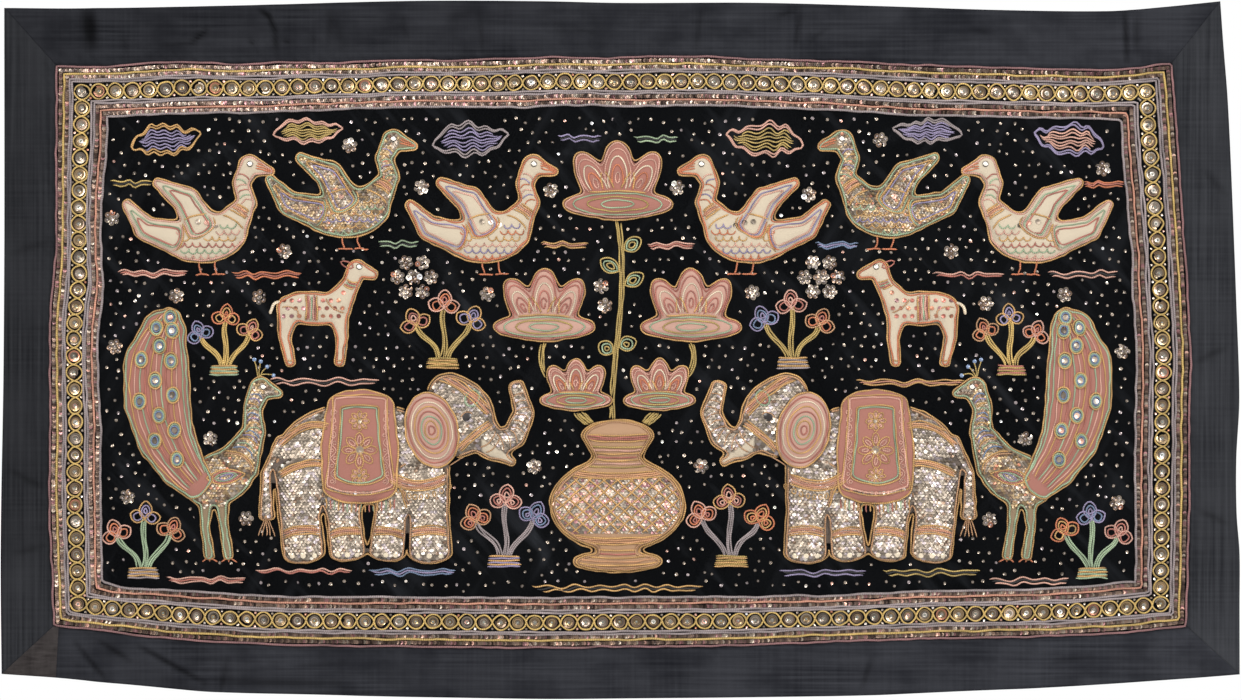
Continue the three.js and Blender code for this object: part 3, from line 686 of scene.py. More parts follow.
class Raster:
    """The height of the padded pieces over the velvet, and which ground they and the cords take up."""

    def __init__(self):
        x0, x1, z0, z1 = FIELD_BOX
        self.wide, self.tall = int((x1 - x0) / RASTER_STEP) + 1, int((z1 - z0) / RASTER_STEP) + 1
        self.rise = np.zeros((self.tall, self.wide))
        self.far = np.full((self.tall, self.wide), 100.0)
        self.busy = np.zeros((self.tall, self.wide), bool)
        for place in places.values():
            (i0, j0), (i1, j1) = self.cell(*place.low), self.cell(*place.high)
            rows, columns = slice(j0, j1 + 1), slice(i0, i1 + 1)
            across, down = np.arange(i0, i1 + 1), np.arange(j0, j1 + 1)
            x, z = np.meshgrid(x0 + across * RASTER_STEP, z0 + down * RASTER_STEP)
            far = place.shape(x, z)[0]
            rise = np.where(far < 0, place.height(x, z), 0)
            self.rise[rows, columns] = np.maximum(self.rise[rows, columns], rise)
            self.far[rows, columns] = np.minimum(self.far[rows, columns], far)

    def cell(self, x, z):
        i = int(np.clip(round((x - FIELD_BOX[0]) / RASTER_STEP), 0, self.wide - 1))
        return i, int(np.clip(round((z - FIELD_BOX[2]) / RASTER_STEP), 0, self.tall - 1))

    def look(self, values, x, z):
        """Values between the raster's points."""
        p = np.clip((np.asarray(x) - FIELD_BOX[0]) / RASTER_STEP, 0, self.wide - 1.001)
        q = np.clip((np.asarray(z) - FIELD_BOX[2]) / RASTER_STEP, 0, self.tall - 1.001)
        i, j = p.astype(int), q.astype(int)
        s, t = p - i, q - j
        low = values[j, i] * (1 - s) + values[j, i + 1] * s
        high = values[j + 1, i] * (1 - s) + values[j + 1, i + 1] * s
        return low * (1 - t) + high * t

    def mark(self, path, reach):
        """Takes up the ground within reach of a path."""
        steps = int(math.ceil(reach / RASTER_STEP))
        i = np.clip(((path[:, 0] - FIELD_BOX[0]) / RASTER_STEP).astype(int), steps, self.wide - 1 - steps)
        j = np.clip(((path[:, 1] - FIELD_BOX[2]) / RASTER_STEP).astype(int), steps, self.tall - 1 - steps)
        for di in range(-steps, steps + 1):
            for dj in range(-steps, steps + 1):
                self.busy[j + dj, i + di] = True

    def free(self, x, z, room):
        i = np.clip(((x - FIELD_BOX[0]) / RASTER_STEP).astype(int), 0, self.wide - 1)
        j = np.clip(((z - FIELD_BOX[2]) / RASTER_STEP).astype(int), 0, self.tall - 1)
        return (self.look(self.far, x, z) > room) & ~self.busy[j, i]


raster = Raster()


def top(x, z):
    """Depth of the topmost cloth."""
    return velvet_front(x, z) - raster.look(raster.rise, x, z)


def facing_out(x, z):
    """The topmost cloth's normal, towards the viewer."""
    d = 1.5
    slope_x = (top(x + d, z) - top(x - d, z)) / (2 * d)
    slope_z = (top(x, z + d) - top(x, z - d)) / (2 * d)
    normal = np.column_stack([slope_x, -np.ones_like(slope_x), slope_z])
    return unit(normal)


def relief_piece(place, material):
    """A padded piece: its cushioned front over a flat back, with its points drawn on to the outline."""
    x, z = place.grid(RELIEF_STEP)
    far = place.shape(x, z)[0]
    tall, wide = far.shape
    cells = np.zeros((tall - 1, wide - 1), bool)
    for dj in (0, 1):
        for di in (0, 1):
            cells |= far[dj:tall - 1 + dj, di:wide - 1 + di] < -0.3
    j, i = np.nonzero(cells)
    corner = j * wide + i
    faces = np.column_stack([corner + wide, corner, corner + 1, corner + wide + 1])
    used, faces = np.unique(faces, return_inverse=True)
    faces = faces.reshape(-1, 4)
    px, pz = x.ravel()[used], z.ravel()[used]
    for _ in range(3):
        d = 0.5
        outside = np.maximum(place.shape(px, pz)[0], 0)
        gx = (place.shape(px + d, pz)[0] - place.shape(px - d, pz)[0]) / (2 * d)
        gz = (place.shape(px, pz + d)[0] - place.shape(px, pz - d)[0]) / (2 * d)
        steep = np.maximum(gx * gx + gz * gz, 0.2)
        px, pz = px - outside * gx / steep, pz - outside * gz / steep
    ground, under = velvet_front(px, pz), place.under(px, pz)
    front = ground - np.maximum(place.height(px, pz), under + PAD_EDGE)
    back = ground - under - 0.1
    points = np.concatenate([np.column_stack([px, front, pz]), np.column_stack([px, back, pz])])
    bag = Bag()
    shell = np.concatenate([faces, faces[:, ::-1] + len(px), skirt(faces, len(px))])
    bag.add(points, shell, cloth_tint(place, px, pz))
    piece = bag.piece(f"{place.name}_padding", material, place.slot, replaces=(place.name,))


def skirt(faces, half):
    """The faces between the open edges of a front and those of its back."""
    edges = np.concatenate([faces[:, [k, (k + 1) % 4]] for k in range(4)])
    key = {(a, b) for a, b in edges.tolist()}
    lone = np.array([(a, b) for a, b in key if (b, a) not in key])
    return np.column_stack([lone[:, 1], lone[:, 0], lone[:, 0] + half, lone[:, 1] + half])


def cloth_tint(place, x, z):
    """The cloth's colour at each point, front and back: an elephant's tusk is cream."""
    tint = np.tile(linear(place.cloth), (len(x), 1))
    if place.motif == "elephant":
        tint[:] = linear((96, 84, 74))
        u, v = place.own(x, z)
        tusk = limb_shape(TUSK, u, v)[0]
        tint[(tusk < 0.6) & (u > TUSK_SHOWS)] = linear("cream")
    return np.concatenate([tint, tint])


# Cords and sequins

def resampled(path, step, closed=False):
    """A path with points an even step apart."""
    path = np.asarray(path, float)
    if closed:
        path = np.concatenate([path, path[:1]])
    run = np.concatenate([[0], np.cumsum(np.linalg.norm(np.diff(path, axis=0), axis=1))])
    count = max(int(round(run[-1] / step)), 2)
    where = np.linspace(0, run[-1], count + 1)
    made = np.column_stack([np.interp(where, run, path[:, k]) for k in (0, 1)])
    return made[:-1] if closed else made


def sway(count, wide, closed):
    """Smooth unevenness along a line, about 1 high."""
    loose = np.pad(rng.normal(0, 1, (count, wide)), ((2, 2), (0, 0)), "wrap" if closed else "edge")
    return (loose[:-4] + 2 * loose[1:-3] + 3 * loose[2:-2] + 2 * loose[3:-1] + loose[4:]) / 4.4


def add_cord(bag, path, radius, colour, closed=False, step=3.8, lift=0.6, high=0.0):
    """A cord laid along a path on the topmost cloth and stitched down."""
    length = np.linalg.norm(np.diff(path, axis=0), axis=1).sum()
    step = min(step, max(1.6, length / CORD_STEPS))
    path = resampled(path, step, closed)
    x, z = (path + sway(len(path), 2, closed) * min(CORD_SWAY, 0.02 * length)).T
    line = np.column_stack([x, top(x, z) - lift * radius - high, z])
    way = np.roll(line, -1, axis=0) - np.roll(line, 1, axis=0) if closed else np.gradient(line, axis=0)
    way = unit(way, 1e-9)
    side = unit(np.cross(way, (0, -1, 0)), 1e-9)
    out = np.cross(side, way)
    sides = CORD_SIDES
    turn = 2 * math.pi * np.arange(sides) / sides
    ring = np.cos(turn)[None, :, None] * side[:, None, :] + np.sin(turn)[None, :, None] * out[:, None, :]
    thick = np.full(len(line), radius)
    if not closed:
        thick[[0, -1]] *= CORD_END
    points = (line[:, None, :] + ring * thick[:, None, None]).reshape(-1, 3)
    count = len(line)
    a, b = np.meshgrid(np.arange(sides), np.arange(count if closed else count - 1))
    c, after = (b + 1) % count, (a + 1) % sides
    corners = [b * sides + a, b * sides + after, c * sides + after, c * sides + a]
    u = np.stack([b, b, b + 1, b + 1], axis=-1) * step
    v = np.stack([a, a + 1, a + 1, a], axis=-1) / sides
    uv = np.stack([u, v], axis=-1).reshape(-1, 2)
    shade = rng.uniform(0.9, 1.1) * (1 + 0.11 * sway(count, 1, closed))
    tint = np.repeat(np.clip(linear(colour) * shade, 0, 1), sides, axis=0)
    bag.add(points, np.stack(corners, axis=-1).reshape(-1, 4), tint, uv)
    if not closed:
        ends = np.array([list(range(sides)), list(range((count - 1) * sides, count * sides))[::-1]])
        caps = np.concatenate([[(row[0], row[m], row[m + 1]) for m in range(1, sides - 1)] for row in ends])
        bag.add(points, caps, tint)

def add_discs(bag, centre, normal, radius, tint, sides=8, cup=0.18):
    """Cupped sequins, each a fan of facets round a hollow middle."""
    count = len(centre)
    radius = np.broadcast_to(radius, count)
    side = unit(np.cross(normal, (0, 0, 1)), 1e-9)
    other = np.cross(side, normal)
    turn = 2 * math.pi * (np.arange(sides)[None, :] / sides + rng.random((count, 1)))
    ring = np.cos(turn)[..., None] * side[:, None, :] + np.sin(turn)[..., None] * other[:, None, :]
    rim = centre[:, None, :] + ring * radius[:, None, None]
    middle = centre - normal * (cup * radius)[:, None]
    points = np.concatenate([middle[:, None, :], rim], axis=1)
    k = np.arange(sides)
    fan = np.column_stack([np.zeros(sides, int), 1 + k, 1 + (k + 1) % sides])
    faces = (fan[None] + (np.arange(count) * (sides + 1))[:, None, None]).reshape(-1, 3)
    tints = np.repeat(np.broadcast_to(tint, (count, 3)), sides + 1, axis=0)
    bag.add(points.reshape(-1, 3), faces, tints)


def tilted(normal, amount, lean=(0, 0, 0)):
    """Normals knocked about by a random amount, and leant one way."""
    moved = normal + rng.normal(0, amount, normal.shape) + np.asarray(lean)
    return unit(moved)


def sequin_tints(count, choices, spread=0.25):
    """A colour for each of many sequins, from (colour, weight) choices, uneven in brightness."""
    colours = np.array([linear(colour) for colour, _ in choices])
    weight = np.array([weight for _, weight in choices], float)
    picked = colours[rng.choice(len(choices), count, p=weight / weight.sum())]
    return np.clip(picked * rng.lognormal(0, spread, (count, 1)), 0, 1)


def sequins(bag, x, z, radius, tints, tilt=0.2, lean=(0, 0, 0), high=0.5, sides=8, cup=0.18):
    normal = tilted(facing_out(x, z), tilt, lean)
    centre = np.column_stack([x, top(x, z) - high, z])
    add_discs(bag, centre, normal, radius, tints, sides, cup)


def contours(values, x, z, level):
    """The lines along which a grid of values crosses a level, as closed lists of points."""
    above = values > level
    point, links = {}, {}

    def cross(a, b):
        key = (a, b)
        if key not in point:
            t = (level - values[a]) / (values[b] - values[a])
            point[key] = (x[a] + (x[b] - x[a]) * t, z[a] + (z[b] - z[a]) * t)
        return key

    mixed = above[:-1, :-1].astype(int) + above[1:, :-1] + above[:-1, 1:] + above[1:, 1:]
    for j, i in zip(*np.nonzero((mixed > 0) & (mixed < 4))):
        ring = [(j, i), (j, i + 1), (j + 1, i + 1), (j + 1, i)]
        cut = []
        for a, b in zip(ring, ring[1:] + ring[:1]):
            if above[a] != above[b]:
                cut.append(cross(*sorted((a, b))))
        for a, b in zip(cut[::2], cut[1::2]):
            links.setdefault(a, []).append(b)
            links.setdefault(b, []).append(a)
    found, seen = [], set()
    for start in links:
        if start in seen:
            continue
        path, here = [], start
        while here is not None and here not in seen:
            seen.add(here)
            path.append(point[here])
            here = next((k for k in links[here] if k not in seen), None)
        if len(path) > 6:
            found.append(np.array(path))
    return found


def rounded(path):
    """A closed path with its small corners eased."""
    for _ in range(2):
        path = (np.roll(path, 1, axis=0) + 2 * path + np.roll(path, -1, axis=0)) / 4
    return path


def runs(path, keep, least=5, closed=True):
    """The stretches of a path on which keep is true."""
    if keep.all():
        return [np.concatenate([path, path[:1]]) if closed else path]
    if closed:
        first = int(np.argmin(keep))
        path, keep = np.roll(path, -first, axis=0), np.roll(keep, -first)
    found, here = [], []
    for p, k in zip(path, keep):
        if k:
            here.append(p)
        elif here:
            found.append(here)
            here = []
    if here:
        found.append(here)
    return [np.array(run) for run in found if len(run) >= least]


def bezier(*points, count=24):
    """A smooth curve pulled towards its inner points."""
    t = np.linspace(0, 1, count)[:, None]
    points = [np.tile(np.array(p, float), (count, 1)) for p in points]
    while len(points) > 1:
        points = [a * (1 - t) + b * t for a, b in zip(points, points[1:])]
    return points[0]


def oval(x, z, rx, rz, tilt=0.0, count=28, start=0.0, stop=1.0):
    """All or part of an oval."""
    turn = 2 * math.pi * np.linspace(start, stop, count, endpoint=stop - start < 1)
    c, s = math.cos(math.radians(tilt)), math.sin(math.radians(tilt))
    p, q = rx * np.cos(turn), rz * np.sin(turn)
    return np.column_stack([x + p * c - q * s, z + p * s + q * c])


def limb_run(limb):
    """A limb's points, and how far along it each one lies."""
    path = np.array(limb[1], float)
    return path, np.concatenate([[0], np.cumsum(np.hypot(*np.diff(path[:, :2], axis=0).T))])

def along_limb(limb, share, count=30):
    """A line along a limb, at a share of its half width to one side."""
    path, run = limb_run(limb)
    where = np.linspace(0, run[-1], count)
    x, z, r = (np.interp(where, run, path[:, k]) for k in range(3))
    x, z, r = (np.convolve(np.pad(v, 3, mode="edge"), np.ones(7) / 7, mode="valid") for v in (x, z, r))
    way = unit(np.column_stack([np.gradient(x), np.gradient(z)]))
    return np.column_stack([x + way[:, 1] * share * r, z - way[:, 0] * share * r])


def across_limb(limb, where, width=0.85, bow=0.25):
    """A short arc across a limb, at a share of its length."""
    path, run = limb_run(limb)
    at = where * run[-1]
    x, z, r = (float(np.interp(at, run, path[:, k])) for k in range(3))
    k = min(int(np.searchsorted(run, at, side="right")) - 1, len(path) - 2)
    way = path[k + 1, :2] - path[k, :2]
    way /= np.linalg.norm(way)
    t = np.linspace(-1, 1, 9)
    side = t * r * width
    push = bow * r * (1 - t * t)
    return np.column_stack([x + way[1] * side + way[0] * push, z - way[0] * side + way[1] * push])


# What is sewn on the motifs

gold_bag, bright_bag = Bag(), Bag()
bead_bag, fine_bag, loose_bag = Bag(), Bag(), Bag()
GOLD_COLOURS = ("gold", "tan", "bronze", "olive", "yellow", "leaf")


def bag_of(colour):
    return gold_bag if colour in GOLD_COLOURS else bright_bag

def stitch(place, path, colour, radius=1.1, closed=False, **more):
    """A couched cord on a motif, drawn in the motif's own frame."""
    add_cord(bag_of(colour), place.out(path), radius, colour, closed, **more)


def strands(path, count, apart=2.3):
    """Lines side by side along a path."""
    way = unit(np.gradient(path, axis=0), 1e-9)
    side = np.column_stack([way[:, 1], -way[:, 0]])
    return [path + side * (k - (count - 1) / 2) * apart for k in range(count)]


def ribbon(place, path, colours, apart=2.3, radius=1.15, within=-2.4):
    """Cords laid side by side on a motif like a band of trim, up to its edge."""
    for line, colour in zip(strands(np.asarray(path, float), len(colours), apart), colours):
        line = resampled(line, 2.0)
        for run in runs(line, place.shape(*place.out(line).T)[0] < within, closed=False):
            stitch(place, run, colour, radius)


def outline_motif(place, colours=("gold", "tan"), levels=(1.1, -1.5), radius=1.3, cover=None):
    """Cords round a motif's outline, on the velvet and on the padding, up to the pieces sewn on top."""
    x, z = place.grid(2.0)
    far = place.shape(x, z)[0]
    for colour, level in zip(colours, levels):
        for path in contours(far, x, z, level):
            raster.mark(path, 3)
            path = rounded(path)
            if cover is None or cover(*path.T).all():
                add_cord(bag_of(colour), path, radius, colour, closed=True, step=2.6)
            else:
                for run in runs(path, cover(*path.T)):
                    add_cord(bag_of(colour), run, radius, colour, step=2.6)


def outline_parts(place, parts, colours, levels=(0,), radius=1.1, within=-4.0, reach=None, cover=None):
    """Cords where the named parts' own outlines cross the motif, or rings inside a part, as on a wing."""
    x, z = place.grid(2.0)
    shapes = place.parts(x, z)
    for part in parts:
        for colour, level in zip(colours, levels):
            for path in contours(shapes[part][0], x, z, level / place.size):
                path = rounded(path)
                keep = place.shape(*path.T)[0] < within
                if reach is not None:
                    keep &= reach(*place.own(*path.T))
                if cover is not None:
                    keep &= cover(*path.T)
                for run in runs(path, keep):
                    add_cord(bag_of(colour), run, radius, colour)


def scales(place, bag, radius, pitch, choices, keep=None, tilt=0.06, edge=-2.6, wave=2.0):
    """Rows of overlapped sequins over a motif, leant like scales."""
    across, down = pitch
    x = np.arange(place.low[0], place.high[0], across)
    z = np.arange(place.high[1], place.low[1], -down)
    gx, gz = np.meshgrid(x, z)
    gx = gx + (np.arange(len(z)) % 2)[:, None] * across / 2
    gz = gz + wave * np.sin(gx / 23 + place.x) + rng.normal(0, 0.15, gx.shape)
    gx, gz = gx.ravel() + rng.normal(0, 0.15, gx.size), gz.ravel()
    inside_it = place.shape(gx, gz)[0] < edge
    if keep is not None:
        inside_it &= keep(gx, gz)
    gx, gz = gx[inside_it], gz[inside_it]
    row = np.repeat(rng.lognormal(0, 0.16, len(z)), len(x))[inside_it]
    tints = np.clip(sequin_tints(len(gx), choices, 0.12) * row[:, None], 0, 1)
    sequins(bag, gx, gz, radius, tints, tilt, lean=(0, 0, 0.2), high=0.45, sides=9, cup=0.12)


def not_under(*names):
    """Keeps places that no piece sewn on top covers."""
    def keep(x, z):
        return np.all([places[name].shape(x, z)[0] > 1.2 for name in names], axis=0)
    return keep


SILVER = [("pewter", 7), ("silver", 2.6), ("grey", 2), ("umber", 0.7), ("white", 0.3)]
BRONZE = [("pewter", 3), ("umber", 3), ("bronze", 4), ("silver", 1.5), ("copper", 0.5)]
ROSY = [("silver", 3), ("mauve", 2), ("pewter", 3), ("pink", 1)]
PALE = [("silver", 5), ("pewter", 4), ("pink", 2), ("white", 1.6), ("copper", 0.5)]


def eye(place, x, z, size=1.0):
    """An eye: a pale disc between two dark ones."""
    centre = place.out([(x, z)])
    for radius, colour, high in ((3.7, "black", 0.7), (2.7, "white", 1.1), (1.4, "black", 1.5)):
        sequins(bead_bag, *centre.T, radius * size, linear(colour), 0.0, high=high, sides=10, cup=-0.35)


def seed(place, x, z, radius, colour):
    """Beads at points of the motif's own frame."""
    centre = place.out(np.column_stack([x, z]))
    sequins(bead_bag, *centre.T, radius, linear(colour), 0.1, high=0.8, sides=7, cup=-0.5)


TRIM = ("gold", "apricot", "salmon", "apricot", "gold")
WIDE_TRIM = ("gold", "apricot", "salmon", "salmon", "apricot", "gold")
NARROW_TRIM = ("gold", "apricot", "apricot", "gold")


def dress_elephant(side):
    place = places[f"elephant_{side}"]
    limbs = MOTIFS["elephant"][1]
    cover = not_under(f"ear_{side}", f"saddle_{side}")

    def keep(x, z):
        u, v = place.own(x, z)
        tusk = limb_shape(TUSK, u, v)[0]
        return cover(x, z) & ((tusk > 1.5) | (u < TUSK_SHOWS))

    scales(place, fine_bag, 2.7, (4.3, 3.3), SILVER, keep)
    outline_motif(place, cover=cover)
    outline_parts(place, (3, 5), ("gold", "tan"), (0, -2.5), reach=lambda u, v: v < 112, cover=cover)
    for leg, share in ((0, 0.7), (1, 0.68), (2, 0.7), (3, 0.68)):
        for n, colour in enumerate(TRIM):
            line = across_limb(limbs[leg], share + 0.024 * n, 0.9, -0.15)
            stitch(place, line, colour)
        line = across_limb(limbs[leg], share + 0.024 * 5.4, 0.8, -0.15)[::2]
        seed(place, line[:, 0], line[:, 1], 1.6, "cream")
    for share in np.linspace(0.2, 0.9, 11):
        stitch(place, across_limb(limbs[4], share, 0.74, 0.2), "tan", 0.8)
    for points, colours in (
        (((74, 216), (104, 206), (133, 172)), TRIM),
        (((96, 128), (112, 146), (134, 160)), NARROW_TRIM),
        (((16, 96), (46, 74), (88, 98)), WIDE_TRIM),
        (((-60, 156), (-88, 166), (-120, 134)), NARROW_TRIM),
        (((-66, 112), (-90, 116), (-118, 98)), NARROW_TRIM),
    ):
        ribbon(place, bezier(*points), colours)
    for x, z in bezier((24, 88), (48, 70), (84, 92), count=9):
        stitch(place, oval(x, z - 8, 2.2, 3.4, 0, 10), "gold", 0.7, closed=True)
    for rx, rz, colour in ((8, 10, "mint"), (4.6, 6.4, "rose")):
        stitch(place, oval(112, 190, rx, rz, -30), colour, closed=True)
    eye(place, 106, 168, 1.6)
    stitch(place, oval(106, 168, 7.4, 5.0, 20, start=0.0, stop=0.5), "tan", 0.9)
    for foot in limbs[:4]:
        x, z, r = foot[1][-1]
        seed(place, x + r * np.array([-0.55, 0, 0.55]), np.full(3, z - 2.6), 3.4, "cream")
    for k in range(-2, 3):
        stitch(place, bezier((-135, 50), (-135 + 3 * k, 38), (-135 + 5 * k, 24)), "tan", 0.8)
    stitch(place, bezier((84, 108), (98, 120), (118, 126)), "tan", 0.9)


def dress_ear(side):
    place = places[f"ear_{side}"]
    for k, colour in enumerate(("rose", "cream", "gold", "rose", "mint", "gold", "rose")):
        share = 0.87 - 0.125 * k
        stitch(place, oval(64, 152, 32 * share, 46 * share, 14), colour, 1.0, closed=True)
    outline_motif(place, ("gold",), (-0.6,))


def vine(place, x, low, high, swing, turns, colour):
    """A running scroll up a strip."""
    t = np.linspace(0, 1, 14 * turns)
    wave = np.sin(2 * math.pi * turns * t / 2)
    stitch(place, np.column_stack([x + swing * wave, low + (high - low) * t]), colour, 0.8)
    for k in range(turns):
        z = low + (high - low) * (k + 0.5) / turns
        centre = x - swing * 0.45 * (1 if k % 2 == 0 else -1)
        stitch(place, oval(centre, z, swing * 0.62, swing * 0.62, 0, 11), colour, 0.75, closed=True)


def dress_saddle(side):
    place = places[f"saddle_{side}"]
    mid = -22
    for colour, margin in (("gold", 4.4), ("pink", 7.0), ("gold", 16.4), ("mint", 18.8)):
        w, low, high = 45 - margin, 68 + margin, 196 - margin
        bend, waist = 0.8 * w, (low + high) / 2 + 20
        path = np.concatenate([
            bezier((mid - w, low + 10), (mid, low - 6), (mid + w, low + 10)),
            bezier((mid + w + 1, low + 14), (mid + bend, waist), (mid + bend, high - 8)),
            bezier((mid + bend, high), (mid, high + 5), (mid - bend, high)),
            bezier((mid - bend, high - 8), (mid - bend, waist), (mid - w - 1, low + 14)),
        ])
        stitch(place, path, colour, 1.05, closed=True)
    for x in (-53.5, 9.5):
        vine(place, x, 86, 178, 3.4, 10, "pink")
    for z, r in ((128, 21), (163, 12), (97, 11)):
        for turn in range(0, 360, 45):
            c, s = math.cos(math.radians(turn)), math.sin(math.radians(turn))
            petal_at = (mid + c * r * 0.6, z + s * r * 0.6)
            stitch(place, oval(*petal_at, r * 0.42, r * 0.23, turn), "gold", 0.8, closed=True)
            stitch(place, oval(*petal_at, r * 0.22, r * 0.09, turn, 12), "pink", 0.8, closed=True)
        sequins(fine_bag, *place.out([(mid, z)]).T, r * 0.26, linear("silver"), 0.1, high=1.0, sides=12)
    x = mid + np.linspace(-34, 34, 15)
    z = 81 - 4 * (1 - np.linspace(-1, 1, 15) ** 2)
    sequins(fine_bag, *place.out(np.column_stack([x, z])).T, 2.2, sequin_tints(15, PALE), 0.2, high=1.0)
    for n, x0 in enumerate(np.linspace(-63, 19, 17)):
        z0 = 70 - 5 * (1 - ((x0 - mid) / 42) ** 2)
        tassel = bezier((x0, z0), (x0 + 0.5, z0 - 6), (x0, z0 - 12))
        stitch(place, tassel, ("gold", "rose", "mint")[n % 3], 1.0)
    outline_motif(place, ("gold",), (-0.8,), 1.35)

def dress_peacock(side):
    place = places[f"peacock_{side}"]
    neck = MOTIFS["peacock"][1][0]
    cover = not_under(f"peacock_tail_{side}")

    def sequinned(x, z):
        return (place.own(x, z)[1] > 66) & cover(x, z)

    scales(place, fine_bag, 2.5, (3.9, 3.0), BRONZE, sequinned, wave=1.0)
    outline_motif(place, ("gold", "mint"), (1.1, -1.4), 1.2, cover)
    outline_parts(place, (0,), ("gold", "tan"), (0, -2.4), cover=cover)
    for n, share in enumerate(np.linspace(0.12, 0.7, 13)):
        stitch(place, across_limb(neck, share, 0.66, 0.35), ("blue", "mint", "gold", "lilac")[n % 4], 0.95)
    for k, colour in enumerate(("gold", "rose", "mint", "lilac")):
        w = 25 - 5.4 * k
        path = np.concatenate([bezier((-w, 98), (-w * 0.2, 98 + w * 0.75), (w, 104)),
                               bezier((w, 104), (-w * 0.1, 96 - w * 0.6), (-w, 98))])
        stitch(place, path + (12, 4), colour, 1.05, closed=True)
    eye(place, 58, 216)
    for k in range(4):
        tip = (46 + 8 * k, 250 - 2.2 * k * k)
        stitch(place, bezier((52, 226), (49 + 3 * k, 236), tip), "leaf", 0.8)
        seed(place, np.array([tip[0]]), np.array([tip[1]]), 2.6, "blue")
    for x in (14, -10):
        for k in (-9, 0, 10):
            stitch(place, bezier((x, 3), (x + k * 0.6, 0), (x + k, -3)), "orange", 1.0)


def dress_tail(side):
    place = places[f"peacock_tail_{side}"]
    limb = MOTIFS["peacock_tail"][1][0]
    for n, share in enumerate(np.linspace(-0.84, 0.84, 11)):
        stitch(place, along_limb(limb, share), ("gold", "pink", "mint", "rose")[n % 4], 0.95)
    spots = [(0.2, 0), (0.33, -0.4), (0.35, 0.4), (0.45, 0), (0.54, -0.52), (0.55, 0.52), (0.64, 0),
             (0.73, -0.5), (0.75, 0.5), (0.83, 0), (0.91, -0.42), (0.92, 0.42), (0.985, 0)]
    for where, share in spots:
        line = along_limb(limb, share, 60)
        x, z = line[int(where * 59)]
        for r, colour in ((10.2, "gold"), (7.8, "mint"), (5.4, "blue")):
            stitch(place, oval(x, z, r * 0.8, r, 0, 20), colour, 1.15, closed=True, high=1.0)
        sequins(fine_bag, *place.out([(x, z)]).T, 3.4, sequin_tints(1, PALE), 0.1, high=2.4, sides=10)
    outline_motif(place, ("gold", "mint"), (1.1, -1.6), 1.25)


def dress_goose(name, tints):
    place = places[name]
    neck = MOTIFS["goose"][1][0]
    sequinned = place.cloth == "bronze"
    if sequinned:
        scales(place, fine_bag, 2.4, (3.8, 2.9), BRONZE, lambda x, z: place.own(x, z)[0] < 58, wave=1.0)
    outline_motif(place, ("gold", tints[0]), (1.1, -1.5), 1.25)
    outline_parts(place, (0,), ("gold",), reach=lambda u, v: u > -30)
    rings = ("gold", *tints)
    for part in (2, 3):
        outline_parts(place, (part,), rings, (0, -2.9, -5.8, -8.7), 1.0, reach=lambda u, v: u < 22)
    for row, z in enumerate((26, 33, 40, 47, 54, 61)):
        for x in np.arange(-26 + 4.5 * (row % 2), 40, 9):
            at = place.out([(x, z)])
            wing = place.parts(*at.T)[2][0]
            if place.shape(*at.T)[0][0] < -5 and wing[0] > 3:
                colour = (*tints, "gold")[row % 4]
                stitch(place, oval(x, z, 4.5, 5, 8, 10, 0.5, 1.0), colour, 0.85)
    ribbon(place, across_limb(neck, 0.2, 1.3, 0.3), TRIM)
    for n, share in enumerate(np.linspace(0.34, 0.62, 6)):
        stitch(place, across_limb(neck, share, 0.7, 0.3), tints[n % 3], 0.85)
    for k in range(3):
        stitch(place, bezier((60, 131 - 3 * k), (70, 128.6 - 2.4 * k), (80, 123 - 1.5 * k)), "orange", 1.0)
    eye(place, 53, 130)
    studs = place.out([(14, 60), (4, 63), (-6, 64)])
    sequins(fine_bag, *studs.T, 3.2, sequin_tints(3, PALE), 0.15, high=1.2, sides=10)
    for x in (-6, 12):
        stitch(place, bezier((x, 20), (x - 1, 12), (x + 3, 5)), "orange", 1.1)
        stitch(place, bezier((x - 4, 4), (x + 4, 5), (x + 12, 4)), "orange", 1.1)


def dress_deer(name):
    place = places[name]
    neck = MOTIFS["deer"][1][0]
    outline_motif(place, ("gold", "orange"), (1.1, -1.4), 1.15)
    outline_parts(place, (1, 3), ("tan",), radius=0.9)
    spots = [(x, z) for z in (64, 74, 84) for x in range(-40 + 5 * (z == 74), 36, 10)]
    spots += [(36, 94), (43, 104)]
    centre = place.out(spots)
    tints = sequin_tints(len(spots), [("rose", 4), ("copper", 2), ("mauve", 2)])
    sequins(fine_bag, *centre.T, 2.7, tints, 0.15, high=0.8)
    stitch(place, oval(40, 130, 9, 3.4, 155), "rose", 0.95, closed=True)
    ribbon(place, across_limb(neck, 0.42, 1.1, -0.3), ("gold", "rose", "mint", "rose", "gold"), 2.2, 1.0)
    girth = ("gold", "rose", "pink", "mint", "pink", "rose", "gold")
    ribbon(place, bezier((-6, 98), (-2, 76), (-6, 52)), girth)
    eye(place, 56, 127)
    for x in (30, -32):
        stitch(place, bezier((x - 5, 8), (x, 6), (x + 5, 8)), "gold", 0.9)
    tail = bezier((-46, 82), (-57, 80), (-59, 66))
    stitch(place, tail, "cream", 2.0)
    raster.mark(place.out(tail), 5)


def dress_lotus(name, tints):
    place = places[name]
    pads = MOTIFS["lotus"][0]

    def above(u, v):
        return np.hypot(u / 52, (v - 11) / 13.5) > 1

    for x, z, rx, rz, tilt, _ in (pads[1], pads[2], pads[0]):
        for n, share in enumerate((0.8, 0.58, 0.36, 0.15)):
            path = oval(x, z, rx * share, rz * share, tilt, 60)
            for run in runs(path, above(*path.T)):
                stitch(place, run, tints[n % 3], 1.0)
    outline_parts(place, (0, 1, 2), ("gold",), radius=1.15, reach=above)
    outline_parts(place, (3,), ("gold",))
    for n, share in enumerate((0.82, 0.56, 0.3)):
        stitch(place, oval(0, 11, 50 * share, 12 * share), ("mint", "leaf", "mint")[n], 1.0, closed=True)
    outline_motif(place, ("gold", tints[0]), (1.1, -1.4), 1.2)


